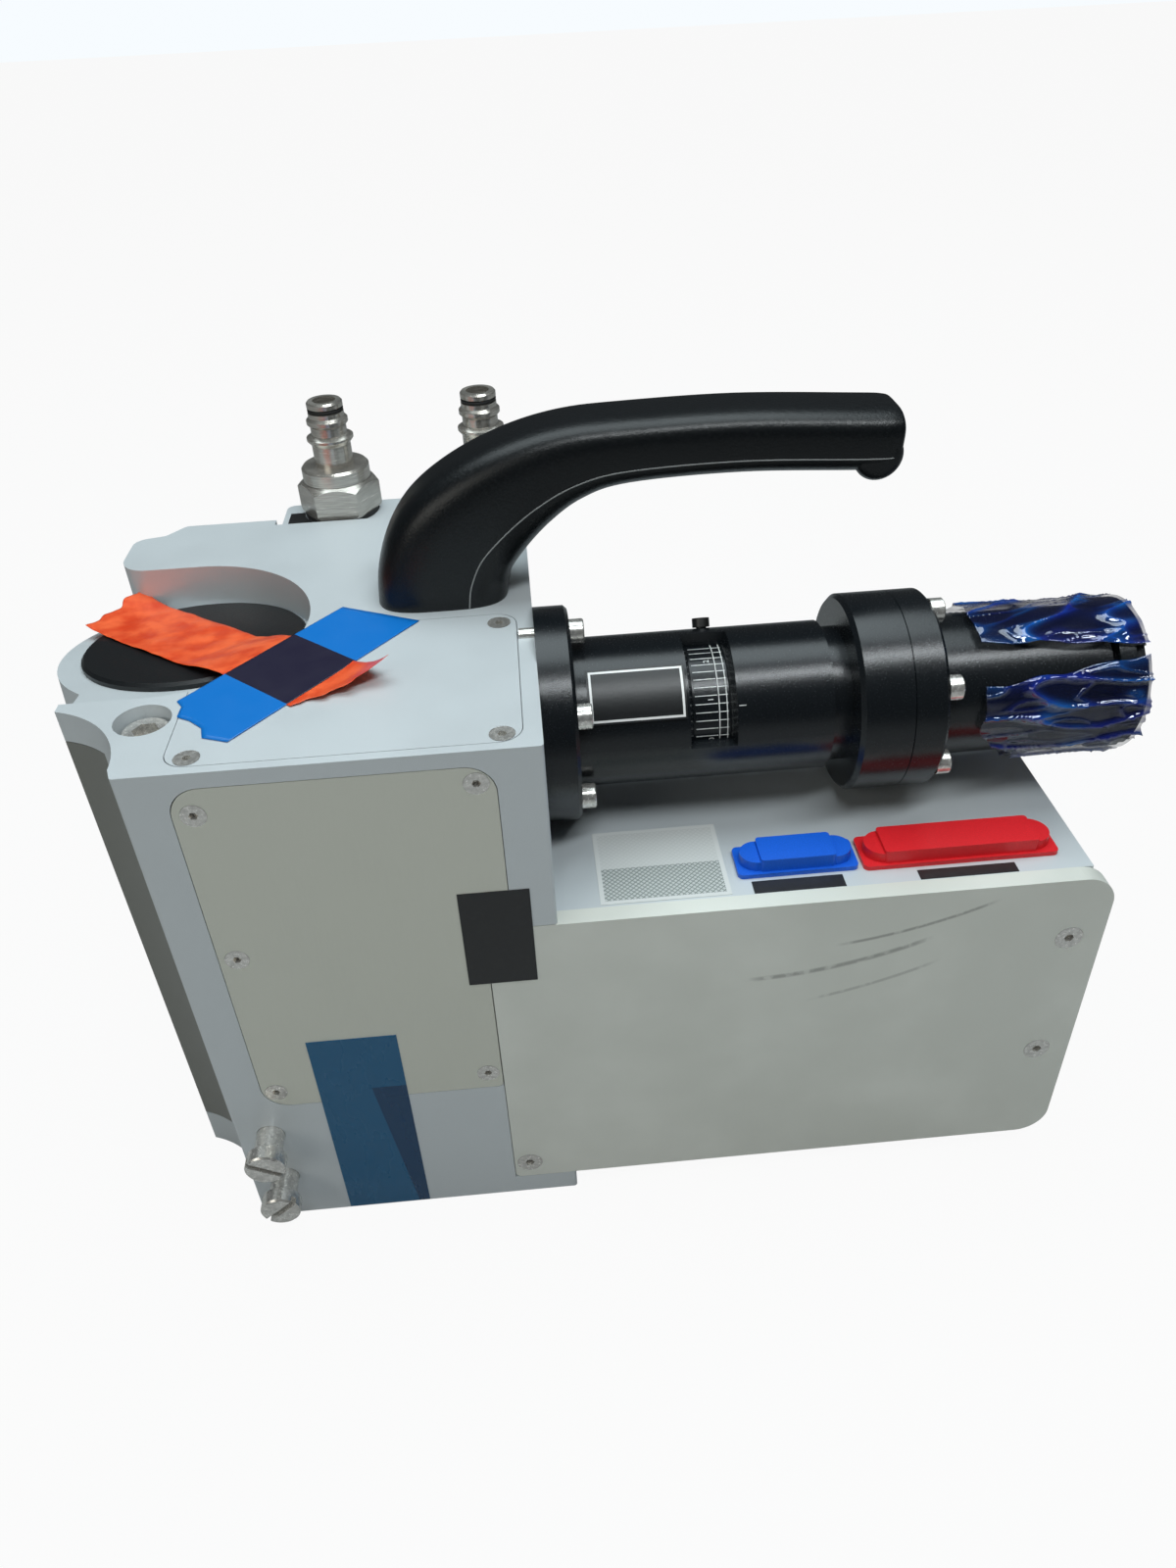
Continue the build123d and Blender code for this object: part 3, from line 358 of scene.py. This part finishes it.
# %% Tape finishes
front_tape = Finish("front_tape", (0.006, 0.1, 0.24), 0.22, 0.0, Alpha=0.9)
crease = front_tape.noise(160.0, 3.0, (1.0, 1.0, 0.35))
second_x, second_z, second_lean = 0.0405, 0.055, 0.12
second_top = 0.058
slant = front_tape.x - second_x + (front_tape.z - second_z) * second_lean
second = slant.ramp(0.0, 0.0004)
upper_end = 1 - front_tape.z.ramp(second_top, second_top + 0.0004)
front_tape.set(
    Base_Color=front_tape.mix(second * upper_end, (0.008, 0.105, 0.23), (0.004, 0.045, 0.12)),
    Roughness=crease * 0.3 + 0.12,
)
front_tape.bump(crease, 0.0003, 0.5)

top_tape = Finish("blue_tape", (0.002, 0.16, 0.56), 0.3, 0.0, Alpha=0.93)
ripple = top_tape.noise(120.0, 2.0)
under_x, under_y = 0.0243, -0.0246
under_half = 0.0124
from_x = (top_tape.x - under_x) * strip_side.x
across_strip = from_x + (top_tape.y - under_y) * strip_side.y
double = 1 - (abs(across_strip)).ramp(under_half, under_half + 0.0003)
top_tape.set(
    Base_Color=top_tape.mix(double, (0.002, 0.165, 0.56), (0.012, 0.01, 0.03)),
    Roughness=ripple * 0.2 + 0.25,
    Alpha=double * 0.06 + 0.93,
)
top_tape.bump(ripple, 0.0002, 0.4)

orange_film = Finish("orange_tape", (0.85, 0.1, 0.025), 0.35, 0.0, Alpha=0.96)
orange_ripple = orange_film.noise(140.0, 3.0)
orange_shade = orange_ripple.ramp(0.3, 0.7)
orange_film.set(
    Base_Color=orange_film.mix(orange_shade, (0.7, 0.055, 0.012), (0.92, 0.14, 0.04)),
    Roughness=orange_ripple * 0.3 + 0.2,
)
orange_film.bump(orange_ripple, 0.0004, 0.5)
print("tape finishes ready")

# %% [markdown]
# The film round the fibre end is thin, clear, dark blue plastic. Flat film lets the black tube
# through, and a fold is bluer and denser. The sheet's mesh says how folded each point is.

# %% Film finish
film_blue = Finish(
    "blue_film",
    (0.003, 0.012, 0.08),
    roughness=0.05,
    Specular_IOR_Level=1.0,
    Coat_Weight=1.0,
    Coat_Roughness=0.03,
)
fold = film_blue.node("ShaderNodeAttribute", {"attribute_name": "fold"}, (), out="Fac")
tint = film_blue.noise(70.0, 2.0).ramp(0.4, 0.62)
folded = film_blue.mix(tint, (0.004, 0.018, 0.26), (0.006, 0.11, 0.42))
film_blue.set(
    Base_Color=film_blue.mix(fold, (0.002, 0.006, 0.045), folded),
    Alpha=(fold * 0.5 + tint * 0.12 + 0.3).math("MINIMUM", 0.92),
)
print("film finish ready")

# %% [markdown]
# Every CAD node now gets its finish. A CAD mesh is never changed: only the material in its
# slot is exchanged.

# %% Dress the CAD nodes
wardrobe = {
    silver: "housing top_cover box_shell water_block",
    cover_grey: "front_cover",
    shadow_grey: "left_cover",
    plate_grey: "side_plate back_plate",
    screw_steel: "cover_screws plate_screws mounting_screw flange_screws ring_screws handle_screws"
    " power_socket signal_socket captive_screw_upper captive_screw_lower scanner_x_rotor"
    " scanner_y_rotor",
    nickel: "coupling_in coupling_out",
    raw_metal: "board_posts scanner_block",
    blackened: "lock_screw",
    mirror: "scanner_x_mirror scanner_y_mirror",
    glass: "exit_window cell_lens head_lens collimator_lens",
    black_metal: "exit_ring expander_body scale_sleeve lens_cell tube_retainer clamp_ring"
    " centring_ring collimator fibre_ring scanner_x_motor scanner_y_motor",
    grip_black: "handle",
    cap_black: "exit_cap",
    seal_black: "coupling_seals",
    cap_blue: "power_cap",
    cap_red: "signal_cap",
    label_black: "seal_label socket_labels block_label",
    label_silver: "test_label",
    plate_black: "type_plate",
    board_green: "servo_board_x servo_board_y",
    front_tape: "front_tape",
    top_tape: "blue_tape",
    orange_film: "orange_tape",
    film_blue: "film_wrap",
}
dressed = 0
for finish, names in wardrobe.items():
    for name in names.split():
        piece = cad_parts[name]
        piece.data.materials.clear()
        piece.data.materials.append(finish.material)
        dressed += 1
print("dressed", dressed, "of", len(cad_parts))

# %% [markdown]
# New pieces are meshes with their place in their vertices. These helpers weave rows of points
# into one, so that a sheet, a strip or a lofted grip is written as a row of sections, and they
# close the two ends of a barrel.

# %% Mesh helpers
def mesh_piece(name, points, faces, finish):
    mesh = bpy.data.meshes.new(name)
    mesh.from_pydata([tuple(p) for p in points], [], faces)
    mesh.materials.append(finish.material)
    for polygon in mesh.polygons:
        polygon.use_smooth = True
    piece = bpy.data.objects.new(name, mesh)
    bpy.context.scene.collection.objects.link(piece)
    return piece


def woven_rows(rows, closed=False):
    """Points and quads through rows of equal length."""
    width = len(rows[0])
    points = [p for row in rows for p in row]
    faces = []
    for r in range(len(rows) - 1):
        for c in range(width if closed else width - 1):
            d = (c + 1) % width
            faces.append((r * width + c, r * width + d, (r + 1) * width + d, (r + 1) * width + c))
    return points, faces


def barrel(rows):
    """Points and faces through closed rows, with a flat face at each end."""
    points, faces = woven_rows(rows, closed=True)
    width = len(rows[0])
    faces.append(tuple(range(width - 1, -1, -1)))
    faces.append(tuple(range(len(points) - width, len(points))))
    return points, faces


def stiffen(piece, thickness):
    """A wall on a sheet, as a Solidify modifier."""
    wall = piece.modifiers.new("wall", "SOLIDIFY")
    wall.thickness = thickness
    wall.offset = 0.0
    return piece


print("mesh helpers ready")

# %% [markdown]
# The handle is moulded in two halves and grows out of the lid in one smooth sweep. Its section
# is a soft rectangle, written as a superellipse, and its centre line and sizes come from a few
# stations joined by smooth curves. Sweeping it in rings gives even faces for the grain.

# %% Handle
grip_y = 0.008
grip_power = 3.4
grip_sides = 72
rings_between = 8
# Along the grip: centre x, centre z, lean of the section, depth, width.
grip_stations = [
    (0.0735, 0.1760, 0.0, 0.0382, 0.0300),
    (0.0749, 0.1843, 12.0, 0.0380, 0.0298),
    (0.0798, 0.1938, 36.0, 0.0356, 0.0294),
    (0.0884, 0.2018, 50.0, 0.0319, 0.0288),
    (0.0998, 0.2092, 60.0, 0.0268, 0.0280),
    (0.1127, 0.2144, 74.0, 0.0218, 0.0273),
    (0.1280, 0.2167, 85.0, 0.0185, 0.0268),
    (0.1600, 0.2172, 92.0, 0.0177, 0.0266),
    (0.1940, 0.2152, 94.0, 0.0174, 0.0266),
    (0.2024, 0.2148, 94.0, 0.0168, 0.0254),
    (0.2038, 0.2147, 94.0, 0.0152, 0.0236),
    (0.2046, 0.2146, 94.0, 0.0126, 0.0204),
]


def smooth_between(stations, t):
    """Values at t along the stations, by Catmull-Rom."""
    i = min(int(t), len(stations) - 2)
    f = t - i
    a = stations[max(i - 1, 0)]
    b = stations[i]
    c = stations[i + 1]
    d = stations[min(i + 2, len(stations) - 1)]
    values = []
    for p, q, r, s in zip(a, b, c, d):
        square = (2 * p - 5 * q + 4 * r - s) * f * f
        cube = (3 * q - p - 3 * r + s) * f**3
        values.append(0.5 * (2 * q + (r - p) * f + square + cube))
    return values


def soft_rectangle(depth, width, count):
    """Points round a superellipse."""
    ring = []
    for k in range(count):
        a = 2 * math.pi * k / count
        c, s = math.cos(a), math.sin(a)
        u = math.copysign(abs(c) ** (2 / grip_power), c) * depth / 2
        v = math.copysign(abs(s) ** (2 / grip_power), s) * width / 2
        ring.append((u, v))
    return ring


def on_grip(x, z, lean, u, v):
    """A place in a leaning section: u across its depth, v across its width."""
    a = math.radians(lean)
    return Vector((x + u * math.cos(a), grip_y + v, z - u * math.sin(a)))


grip_rows = []
for k in range((len(grip_stations) - 1) * rings_between + 1):
    x, z, lean, depth, width = smooth_between(grip_stations, k / rings_between)
    section = soft_rectangle(depth, width, grip_sides)
    grip_rows.append([on_grip(x, z, lean, u, v) for u, v in section])
points, faces = barrel(grip_rows)
handle_grip = mesh_piece("handle_grip", points, faces, grip_black)
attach(handle_grip, "head")
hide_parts("handle")
print("handle points", len(points))

# %% [markdown]
# At its free end the handle carries a round nose under the grip, where a bolt would go in a
# closed version. It is a short soft-edged barrel across the grip.

# %% Handle nose
nose_x, nose_z, nose_r = 0.1976, 0.2118, 0.0070
nose_half = 0.0128
nose_sides = 48
# Towards an end: how far from it, and how much smaller the barrel is there.
nose_edge = [(0.0, 0.0022), (0.0005, 0.0009), (0.0018, 0.0)]
nose_profile = [(-nose_half + inset, nose_r - less) for inset, less in nose_edge]
nose_profile += [(nose_half - inset, nose_r - less) for inset, less in reversed(nose_edge)]
nose_rows = []
for y, r in nose_profile:
    row = []
    for k in range(nose_sides):
        a = 2 * math.pi * k / nose_sides
        row.append(Vector((nose_x + r * math.cos(a), grip_y + y, nose_z + r * math.sin(a))))
    nose_rows.append(row)
points, faces = barrel(nose_rows)
handle_nose = mesh_piece("handle_nose", points, faces, grip_black)
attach(handle_nose, "head")
print("nose radius", nose_r)

# %% [markdown]
# The two halves of the grip meet in a thin raised line below the middle of its side, which
# catches the light. A bump would vanish at this size, so it is a narrow ridge swept along the
# same stations as the grip. Its light grey is partly dust and partly a painted highlight.

# %% Parting line
seam_half = 0.00022
seam_height = 0.4
seam_rise = 0.00014
seam_clear = 0.00002
seam_rows = []
for k in range((len(grip_stations) - 2) * rings_between + 1):
    x, z, lean, depth, width = smooth_between(grip_stations, k / rings_between)
    row = []
    for side_step, raised in ((-1.0, 0.0), (0.0, seam_rise), (1.0, 0.0)):
        u = seam_height * depth / 2 + side_step * seam_half
        share = min(1.0, abs(2 * u / depth)) ** grip_power
        v = -(width / 2) * (1 - share) ** (1 / grip_power) - seam_clear - raised
        row.append(on_grip(x, z, lean, u, v))
    seam_rows.append(row)
points, faces = woven_rows(seam_rows)
# Light grey: dust on the ridge together with a painted highlight of the light it catches.
seam_dust_and_highlight = Finish("handle_seam", (0.24, 0.25, 0.25), 0.5)
handle_seam = stiffen(mesh_piece("handle_seam", points, faces, seam_dust_and_highlight), 0.00004)
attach(handle_seam, "head")
print("seam rows", len(seam_rows))

# %% [markdown]
# The scale is engraved on the focusing sleeve and seen through the tube's window: a line every
# few degrees, two rings round the sleeve and small figures. It has a white finish of its own,
# and two helpers set up a Geometry Nodes tree and keep its result as a plain mesh.

# %% Scale finish and node tools
ink = Finish("scale_white", (0.78, 0.79, 0.78), 0.5)
ink_wear = ink.noise(900.0, 2.0).ramp(0.25, 0.6)
ink.set(Base_Color=ink.mix(ink_wear, (0.5, 0.51, 0.5), (0.8, 0.81, 0.8)))


def node_tree(name, inputs):
    """A geometry tree with named number inputs; gives the tree, its inputs and its end."""
    tree = bpy.data.node_groups.new(name, "GeometryNodeTree")
    tree.interface.new_socket("Geometry", in_out="INPUT", socket_type="NodeSocketGeometry")
    for label, kind, value in inputs:
        item = tree.interface.new_socket(label, in_out="INPUT", socket_type=kind)
        item.default_value = value
    tree.interface.new_socket("Geometry", in_out="OUTPUT", socket_type="NodeSocketGeometry")
    start = tree.nodes.new("NodeGroupInput")
    end = tree.nodes.new("NodeGroupOutput")
    given = {s.name: Wire(tree, s) for s in start.outputs if s.name}
    return tree, given, end


def grow(name, tree, sizes):
    """Runs a tree on an empty mesh and keeps the result as a plain mesh piece."""
    seed = bpy.data.objects.new(name, bpy.data.meshes.new(name + "_seed"))
    bpy.context.scene.collection.objects.link(seed)
    maker = seed.modifiers.new("grow", "NODES")
    maker.node_group = tree
    for item in tree.interface.items_tree:
        if item.in_out == "INPUT" and item.name in sizes:
            maker[item.identifier] = sizes[item.name]
    seed.update_tag()
    ready = seed.evaluated_get(bpy.context.evaluated_depsgraph_get())
    mesh = bpy.data.meshes.new_from_object(ready)
    seed.modifiers.remove(maker)
    seed.data = mesh
    print(name, "faces", len(mesh.polygons))
    return seed


# %% [markdown]
# Every line is the same bar at the next angle, so Geometry Nodes repeat it by its index, and
# its count and step stay named inputs. Long and short lines are two runs of one tree.

# %% Graduation lines
line_count = 47
first_line = -7.0
line_step = 7.6
bar_height = 0.00005
bar_clear = 0.00002
lines, given, end = node_tree(
    "graduation",
    [
        ("Count", "NodeSocketInt", 20),
        ("Radius", "NodeSocketFloat", sleeve_r),
        ("Start", "NodeSocketFloat", 0.0),
        ("Step", "NodeSocketFloat", 0.08),
        ("Left", "NodeSocketFloat", 0.142),
        ("Length", "NodeSocketFloat", 0.008),
        ("Bar", "NodeSocketFloat", 0.00022),
    ],
)
row = add_node(lines, "GeometryNodeMeshLine", (), {"Count": given["Count"]})
index = add_node(lines, "GeometryNodeInputIndex")
angle = given["Start"] + index * given["Step"]
spot = add_node(
    lines,
    "ShaderNodeCombineXYZ",
    (),
    {
        0: given["Left"] + given["Length"] * 0.5,
        1: axis_y - angle.math("COSINE") * given["Radius"],
        2: angle.math("SINE") * given["Radius"] + axis_z,
    },
)
placed = add_node(lines, "GeometryNodeSetPosition", (), {"Geometry": row, "Position": spot})
bar_sides = {0: given["Length"], 1: bar_height, 2: given["Bar"]}
bar_size = add_node(lines, "ShaderNodeCombineXYZ", (), bar_sides)
bar = add_node(lines, "GeometryNodeMeshCube", (), {"Size": bar_size})
facing = add_node(lines, "ShaderNodeCombineXYZ", (), {0: angle * -1.0, 1: 0.0, 2: 0.0})
bars = {"Points": placed, "Instance": bar, "Rotation": facing}
turned_bars = add_node(lines, "GeometryNodeInstanceOnPoints", (), bars)
real = add_node(lines, "GeometryNodeRealizeInstances", (), {0: turned_bars})
inked = add_node(lines, "GeometryNodeSetMaterial", (), {"Geometry": real, "Material": ink.material})
lines.links.new(inked.socket, end.inputs[0])

spread = {
    "Count": line_count,
    "Start": math.radians(first_line),
    "Step": math.radians(line_step),
    "Radius": sleeve_r + bar_clear,
}
long_lines = grow("scale_lines", lines, {**spread, "Length": 0.0062, "Left": 0.1418})
short_lines = grow("scale_short_lines", lines, {**spread, "Length": 0.0026, "Left": 0.1484})
for piece in (long_lines, short_lines):
    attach(piece, "scale")

# %% [markdown]
# Two thin rings border the short lines, and a figure stands half a step past every fifth one.
# A figure is a text curve made a mesh first, then laid on the sleeve by moving its points
# round the axis.

# %% Rings and figures
ring_half = 0.00013
ring_clear = 0.00005
for x in (0.1484, 0.1506):
    rows = []
    for x_edge in (x - ring_half, x + ring_half):
        rows.append([round_axis(x_edge, 3.0 * k, sleeve_r + ring_clear) for k in range(120)])
    points, faces = woven_rows(rows, closed=True)
    ring = mesh_piece("scale_ring_%d" % round(x * 10000), points, faces, ink)
    stiffen(ring, 0.00004)
    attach(ring, "scale")


figure_clear = 0.000035
figure_height = 0.0022
figure_x = 0.1462
lines_per_figure = 5


def figure_on_sleeve(label, x, degrees):
    """A figure on the sleeve, read round it, with its top towards the housing."""
    curve = bpy.data.curves.new("figure_" + label, "FONT")
    curve.body = label
    curve.size = figure_height
    curve.align_x = "CENTER"
    curve.align_y = "CENTER"
    helper = bpy.data.objects.new("figure_helper", curve)
    bpy.context.scene.collection.objects.link(helper)
    ready = helper.evaluated_get(bpy.context.evaluated_depsgraph_get())
    flat = bpy.data.meshes.new_from_object(ready)
    bpy.data.objects.remove(helper)
    for vertex in flat.vertices:
        u, v = vertex.co.x, vertex.co.y
        around = degrees + math.degrees(u / sleeve_r)
        vertex.co = round_axis(x - v, around, sleeve_r + figure_clear)
    flat.materials.clear()
    flat.materials.append(ink.material)
    piece = bpy.data.objects.new("figure_" + label + "_%d" % round(degrees), flat)
    bpy.context.scene.collection.objects.link(piece)
    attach(piece, "scale")
    return piece


figures = []
for k in range(line_count // lines_per_figure):
    degrees = first_line + line_step * lines_per_figure * k + line_step / 2
    figures.append(figure_on_sleeve(str(k), figure_x, degrees))
print("figures", len(figures))

# %% [markdown]
# A white tick on the tube beside the window marks where the scale is read.

# %% Index tick
tick_angles = (28.2, 28.8)
tick_ends = (0.1532, 0.1552)
tick_rows = []
for x in tick_ends:
    tick_rows.append([round_axis(x, d, tube_r + 0.00004) for d in tick_angles])
points, faces = woven_rows(tick_rows)
index_tick = stiffen(mesh_piece("index_tick", points, faces, ink), 0.00004)
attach(index_tick, "head")
print("tick at", round(tick_rows[0][0].x, 4))

# %% [markdown]
# The blue strip holds the orange one down. It is a flat band with one torn end, and it bridges
# the edge of the recess, so it is a fine grid cut to its outline, with a faint ripple.

# %% Blue strip on the lid
def along(line, t):
    """A point at a share of a broken line's length."""
    corners = [Vector(p) for p in line]
    lengths = [(q - p).length for p, q in zip(corners, corners[1:])]
    left = t * sum(lengths)
    for p, q, size in zip(corners, corners[1:], lengths):
        if left <= size or q is corners[-1]:
            return p.lerp(q, min(1.0, left / size))
        left -= size


tape_lift = 0.00026
tape_ripple = 0.00006


def lid_height(x, y):
    ripple = tape_ripple * noise.noise(Vector((x * 90, y * 90, 0.4)))
    return lid_z + tape_lift + ripple


torn_end = [
    (0.0060, -0.0463),
    (0.0078, -0.0492),
    (0.0076, -0.0540),
    (0.0112, -0.0562),
    (0.0148, -0.0600),
    (0.0158, -0.0645),
    (0.0225, -0.0672),
]
far_end = [(0.0442, -0.0001), (0.0669, -0.0120)]
blue_steps, blue_across = 60, 40
blue_rows = []
for k in range(blue_steps + 1):
    a = along(torn_end, k / blue_steps)
    b = along(far_end, k / blue_steps)
    places = [a.lerp(b, c / blue_across) for c in range(blue_across + 1)]
    blue_rows.append([Vector((p.x, p.y, lid_height(p.x, p.y))) for p in places])
points, faces = woven_rows(blue_rows)
blue_strip = stiffen(mesh_piece("blue_strip", points, faces, top_tape), 0.0001)
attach(blue_strip, "exit_cover")
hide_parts("blue_tape")
print("blue strip points", len(points))

# %% [markdown]
# The orange strip sags from the recess's edge onto the cap and curls up where it was torn off.
# Its height is written along its length: flat on the tilted cap, rising to the lid, then the
# curl. Across it, a few soft waves and a ragged edge make it look handled.

# %% Orange strip
strip_start = Vector((-0.0300, 0.0262, 0.0))
half_strip = 0.0125
orange_steps, orange_across = 150, 30
seat_z = 0.1667
cap_rise = 0.0022 / math.cos(exit_tilt)
cap_clear = 0.00025
sag_clear = 0.0006
lid_clear = 0.0001
lift_start, lift_end = 0.0545, 0.0742
curl_start, curl_bend = 0.0985, 22.0
free_length, free_bend = 0.012, 14.0
torn_length = 0.1085


def cap_height(y):
    return seat_z - y * math.tan(exit_tilt) + cap_rise + cap_clear


def strip_wave(s, t):
    """Soft waves with a finer crumple on top."""
    soft = 0.0006 * noise.noise(Vector((s * 60, t * 80, 3.1)))
    return soft + 0.0003 * noise.noise(Vector((s * 190, t * 160, 7.7)))


def orange_point(s, t):
    """A point at a length s and a sideways place t on the strip."""
    p = strip_start + strip_way * s + strip_side * t
    on_cap = cap_height(p.y) + sag_clear + strip_wave(s, t)
    on_lid = lid_z + lid_clear
    f = min(1.0, max(0.0, (s - lift_start) / (lift_end + t * 0.12 - lift_start)))
    z = on_cap + (on_lid - on_cap) * (f * f * (3 - 2 * f) * 0.4 + f * 0.6)
    curl = max(0.0, s - curl_start + (0.0 if t < 0 else t * 0.25))
    z += curl * curl * curl_bend
    end_lift = max(0.0, free_length - s)
    z += end_lift * end_lift * free_bend
    return Vector((p.x, p.y, z))


orange_rows = []
for k in range(orange_steps + 1):
    row = []
    for c in range(orange_across + 1):
        t = -half_strip + 2 * half_strip * c / orange_across
        ragged_start = 0.0022 * noise.noise(Vector((t * 260, 1.3, 0.0))) - t * 0.35
        torn = 0.0025 * noise.noise(Vector((t * 300, 5.3, 0.0)))
        ragged_end = torn_length + torn + t * 0.42
        s = ragged_start + (ragged_end - ragged_start) * k / orange_steps
        row.append(orange_point(s, t))
    orange_rows.append(row)
points, faces = woven_rows(orange_rows)
orange_strip = stiffen(mesh_piece("orange_strip", points, faces, orange_film), 0.00008)
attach(orange_strip, "exit_cover")
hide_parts("orange_tape")
print("orange strip points", len(points))

# %% [markdown]
# The film is one loose sheet wound once round the fibre end, with a narrow gap high on the
# service side. A cloth simulation would crumple it at random, so it is drawn round the optical
# axis by length and angle. Ridged noise lifts it in creases, higher on the service side, and
# the end towards the housing is cut back underneath.

# %% Film round the fibre end
def crease_noise(x, a, seed):
    """0 on flat film and up to 1 on the ridge of a long fold."""
    place = Vector((x * 34.0 + seed, math.cos(a) * 2.6 + x * 16.0, math.sin(a) * 2.6))
    ridge = 1.0 - abs(noise.noise(place)) * 2.6
    fine = 1.0 - abs(noise.noise(place * 2.2)) * 2.6
    return max(0.0, ridge) ** 5 * 0.75 + max(0.0, fine) ** 5 * 0.35


def eased(low, high, value):
    """0 at low, 1 at high and smooth between."""
    t = min(1.0, max(0.0, (value - low) / (high - low)))
    return t * t * (3 - 2 * t)


film_near, film_far = 0.2215, 0.2682
film_r = 0.0224
film_steps, film_around = 160, 320
film_cut = 0.014
crease_height = 0.001
film_rows = []
film_folds = []
for k in range(film_steps + 1):
    u = k / film_steps
    row = []
    for c in range(film_around + 1):
        v = c / film_around
        upper_edge = 60.0 - 10.0 * u + 3.0 * noise.noise(Vector((u * 4.0, 0.2, 4.0)))
        lower_edge = 387.0 + 15.0 * u + 5.0 * noise.noise(Vector((u * 4.0, 6.2, 1.0)))
        degrees = upper_edge + (lower_edge - upper_edge) * v
        a = math.radians(degrees)
        under = min(eased(230.0, 290.0, degrees), eased(355.0, 312.0, degrees))
        uneven = 0.0022 * noise.noise(Vector((a * 3.0, 9.0, 1.0)))
        x_near = film_near + film_cut * under + uneven
        x = x_near + (film_far - x_near) * u
        free = 1.0 - min(1.0, min(v, 1 - v) * 14)
        loose = 1.0 + 1.1 * eased(300.0, 345.0, degrees) + 0.4 * u**3
        crease = crease_noise(x, a, 2.0)
        lift = crease * crease_height * loose + free * 0.0004
        row.append(round_axis(x, degrees, film_r + lift))
        film_folds.append(min(1.0, crease * 1.5 + 0.5 * free**6))
    film_rows.append(row)
points, faces = woven_rows(film_rows)
film_sheet = mesh_piece("film_sheet", points, faces, film_blue)
folds = film_sheet.data.attributes.new("fold", "FLOAT", "POINT")
folds.data.foreach_set("value", film_folds)
stiffen(film_sheet, 0.00006)
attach(film_sheet, "film")
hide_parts("film_wrap")

# %% [markdown]
# The head stands on a pale floor in a soft studio. The camera sees the floor and the world
# as near white through Is Camera Ray, and the floor keeps a faint shadow of the object.

# %% Floor and world
floor_finish = Finish("floor_pale", (0.4, 0.4, 0.4), 0.9)
camera_white = 0.94
floor_sees = floor_finish.node("ShaderNodeLightPath", out="Is Camera Ray")
white_sockets = {"Color": (1.0, 1.0, 1.0), "Strength": 1.0}
white = floor_finish.node("ShaderNodeEmission", (), white_sockets)
lit = Wire(floor_finish.tree, floor_finish.shader.outputs[0])
shares = {0: floor_sees * camera_white, 1: lit, 2: white}
seen = floor_finish.node("ShaderNodeMixShader", (), shares)
output = floor_finish.tree.nodes["Material Output"]
plug(floor_finish.tree, output.inputs[0], seen)
floor_mesh = bpy.data.meshes.new("floor")
far = 6.0
floor_corners = [(-far, -far, 0), (far, -far, 0), (far, far, 0), (-far, far, 0)]
floor_mesh.from_pydata(floor_corners, [], [(0, 1, 2, 3)])
floor_mesh.materials.append(floor_finish.material)
floor = bpy.data.objects.new("floor", floor_mesh)
bpy.context.scene.collection.objects.link(floor)

world = bpy.data.worlds.new("studio")
world.use_nodes = True
bpy.context.scene.world = world
sky = world.node_tree.nodes["Background"]
world_sees = add_node(world.node_tree, "ShaderNodeLightPath", out="Is Camera Ray")
sky.inputs["Color"].default_value = (0.93, 0.97, 1.0, 1.0)
plug(world.node_tree, sky.inputs["Strength"], world_sees * camera_white + (1 - camera_white))
print("floor and world ready")

# %% [markdown]
# One large lamp overhead makes the lid bright and leaves the front grey, as in a workshop
# with ceiling lights. A weaker one fills the service side from the left, and a narrow strip
# above that side draws the long streak on the black tube.

# %% Lamps
def lamp(name, place, target, size, power, color):
    data = bpy.data.lights.new(name, "AREA")
    data.shape = "RECTANGLE"
    data.size, data.size_y = size
    data.energy = power
    data.color = color
    light = bpy.data.objects.new(name, data)
    light.location = place
    light.rotation_euler = (Vector(target) - Vector(place)).to_track_quat("-Z", "Y").to_euler()
    bpy.context.scene.collection.objects.link(light)
    return light


lamp("ceiling", (0.05, 0.25, 1.3), (0.08, 0.0, 0.1), (1.3, 0.8), 12.2, (0.85, 0.965, 1.0))
lamp("window", (-0.8, -0.9, 0.75), (0.1, 0.0, 0.1), (0.8, 0.6), 3.3, (1.0, 0.98, 0.9))
lamp("streak", (0.35, -0.45, 1.1), (0.15, 0.0, 0.15), (0.9, 0.14), 7.0, (0.92, 0.98, 1.0))
print("lamps ready")

# %% [markdown]
# The camera looks down on the service side, as a hand-held one would. Its place and its three
# axes are written out, because a target point alone would not hold its slight roll.

# %% Camera
camera_place = (0.097669, -0.301535, 0.328442)
right = Vector((0.995982, -0.080231, -0.039792))
down = Vector((-0.079659, -0.590601, -0.803022))
forward = Vector((0.040926, 0.802965, -0.594619))
camera_data = bpy.data.cameras.new("camera")
camera_data.sensor_fit = "HORIZONTAL"
camera_data.sensor_width = 36.0
camera_data.lens = 34.74
camera_data.clip_start = 0.01
camera = bpy.data.objects.new("camera", camera_data)
axes = Matrix((right, -down, -forward)).transposed().to_4x4()
camera.matrix_world = Matrix.Translation(camera_place) @ axes
bpy.context.scene.collection.objects.link(camera)
bpy.context.scene.camera = camera
bpy.context.scene.view_settings.view_transform = "Standard"
print("camera at", tuple(round(c, 3) for c in camera.location))
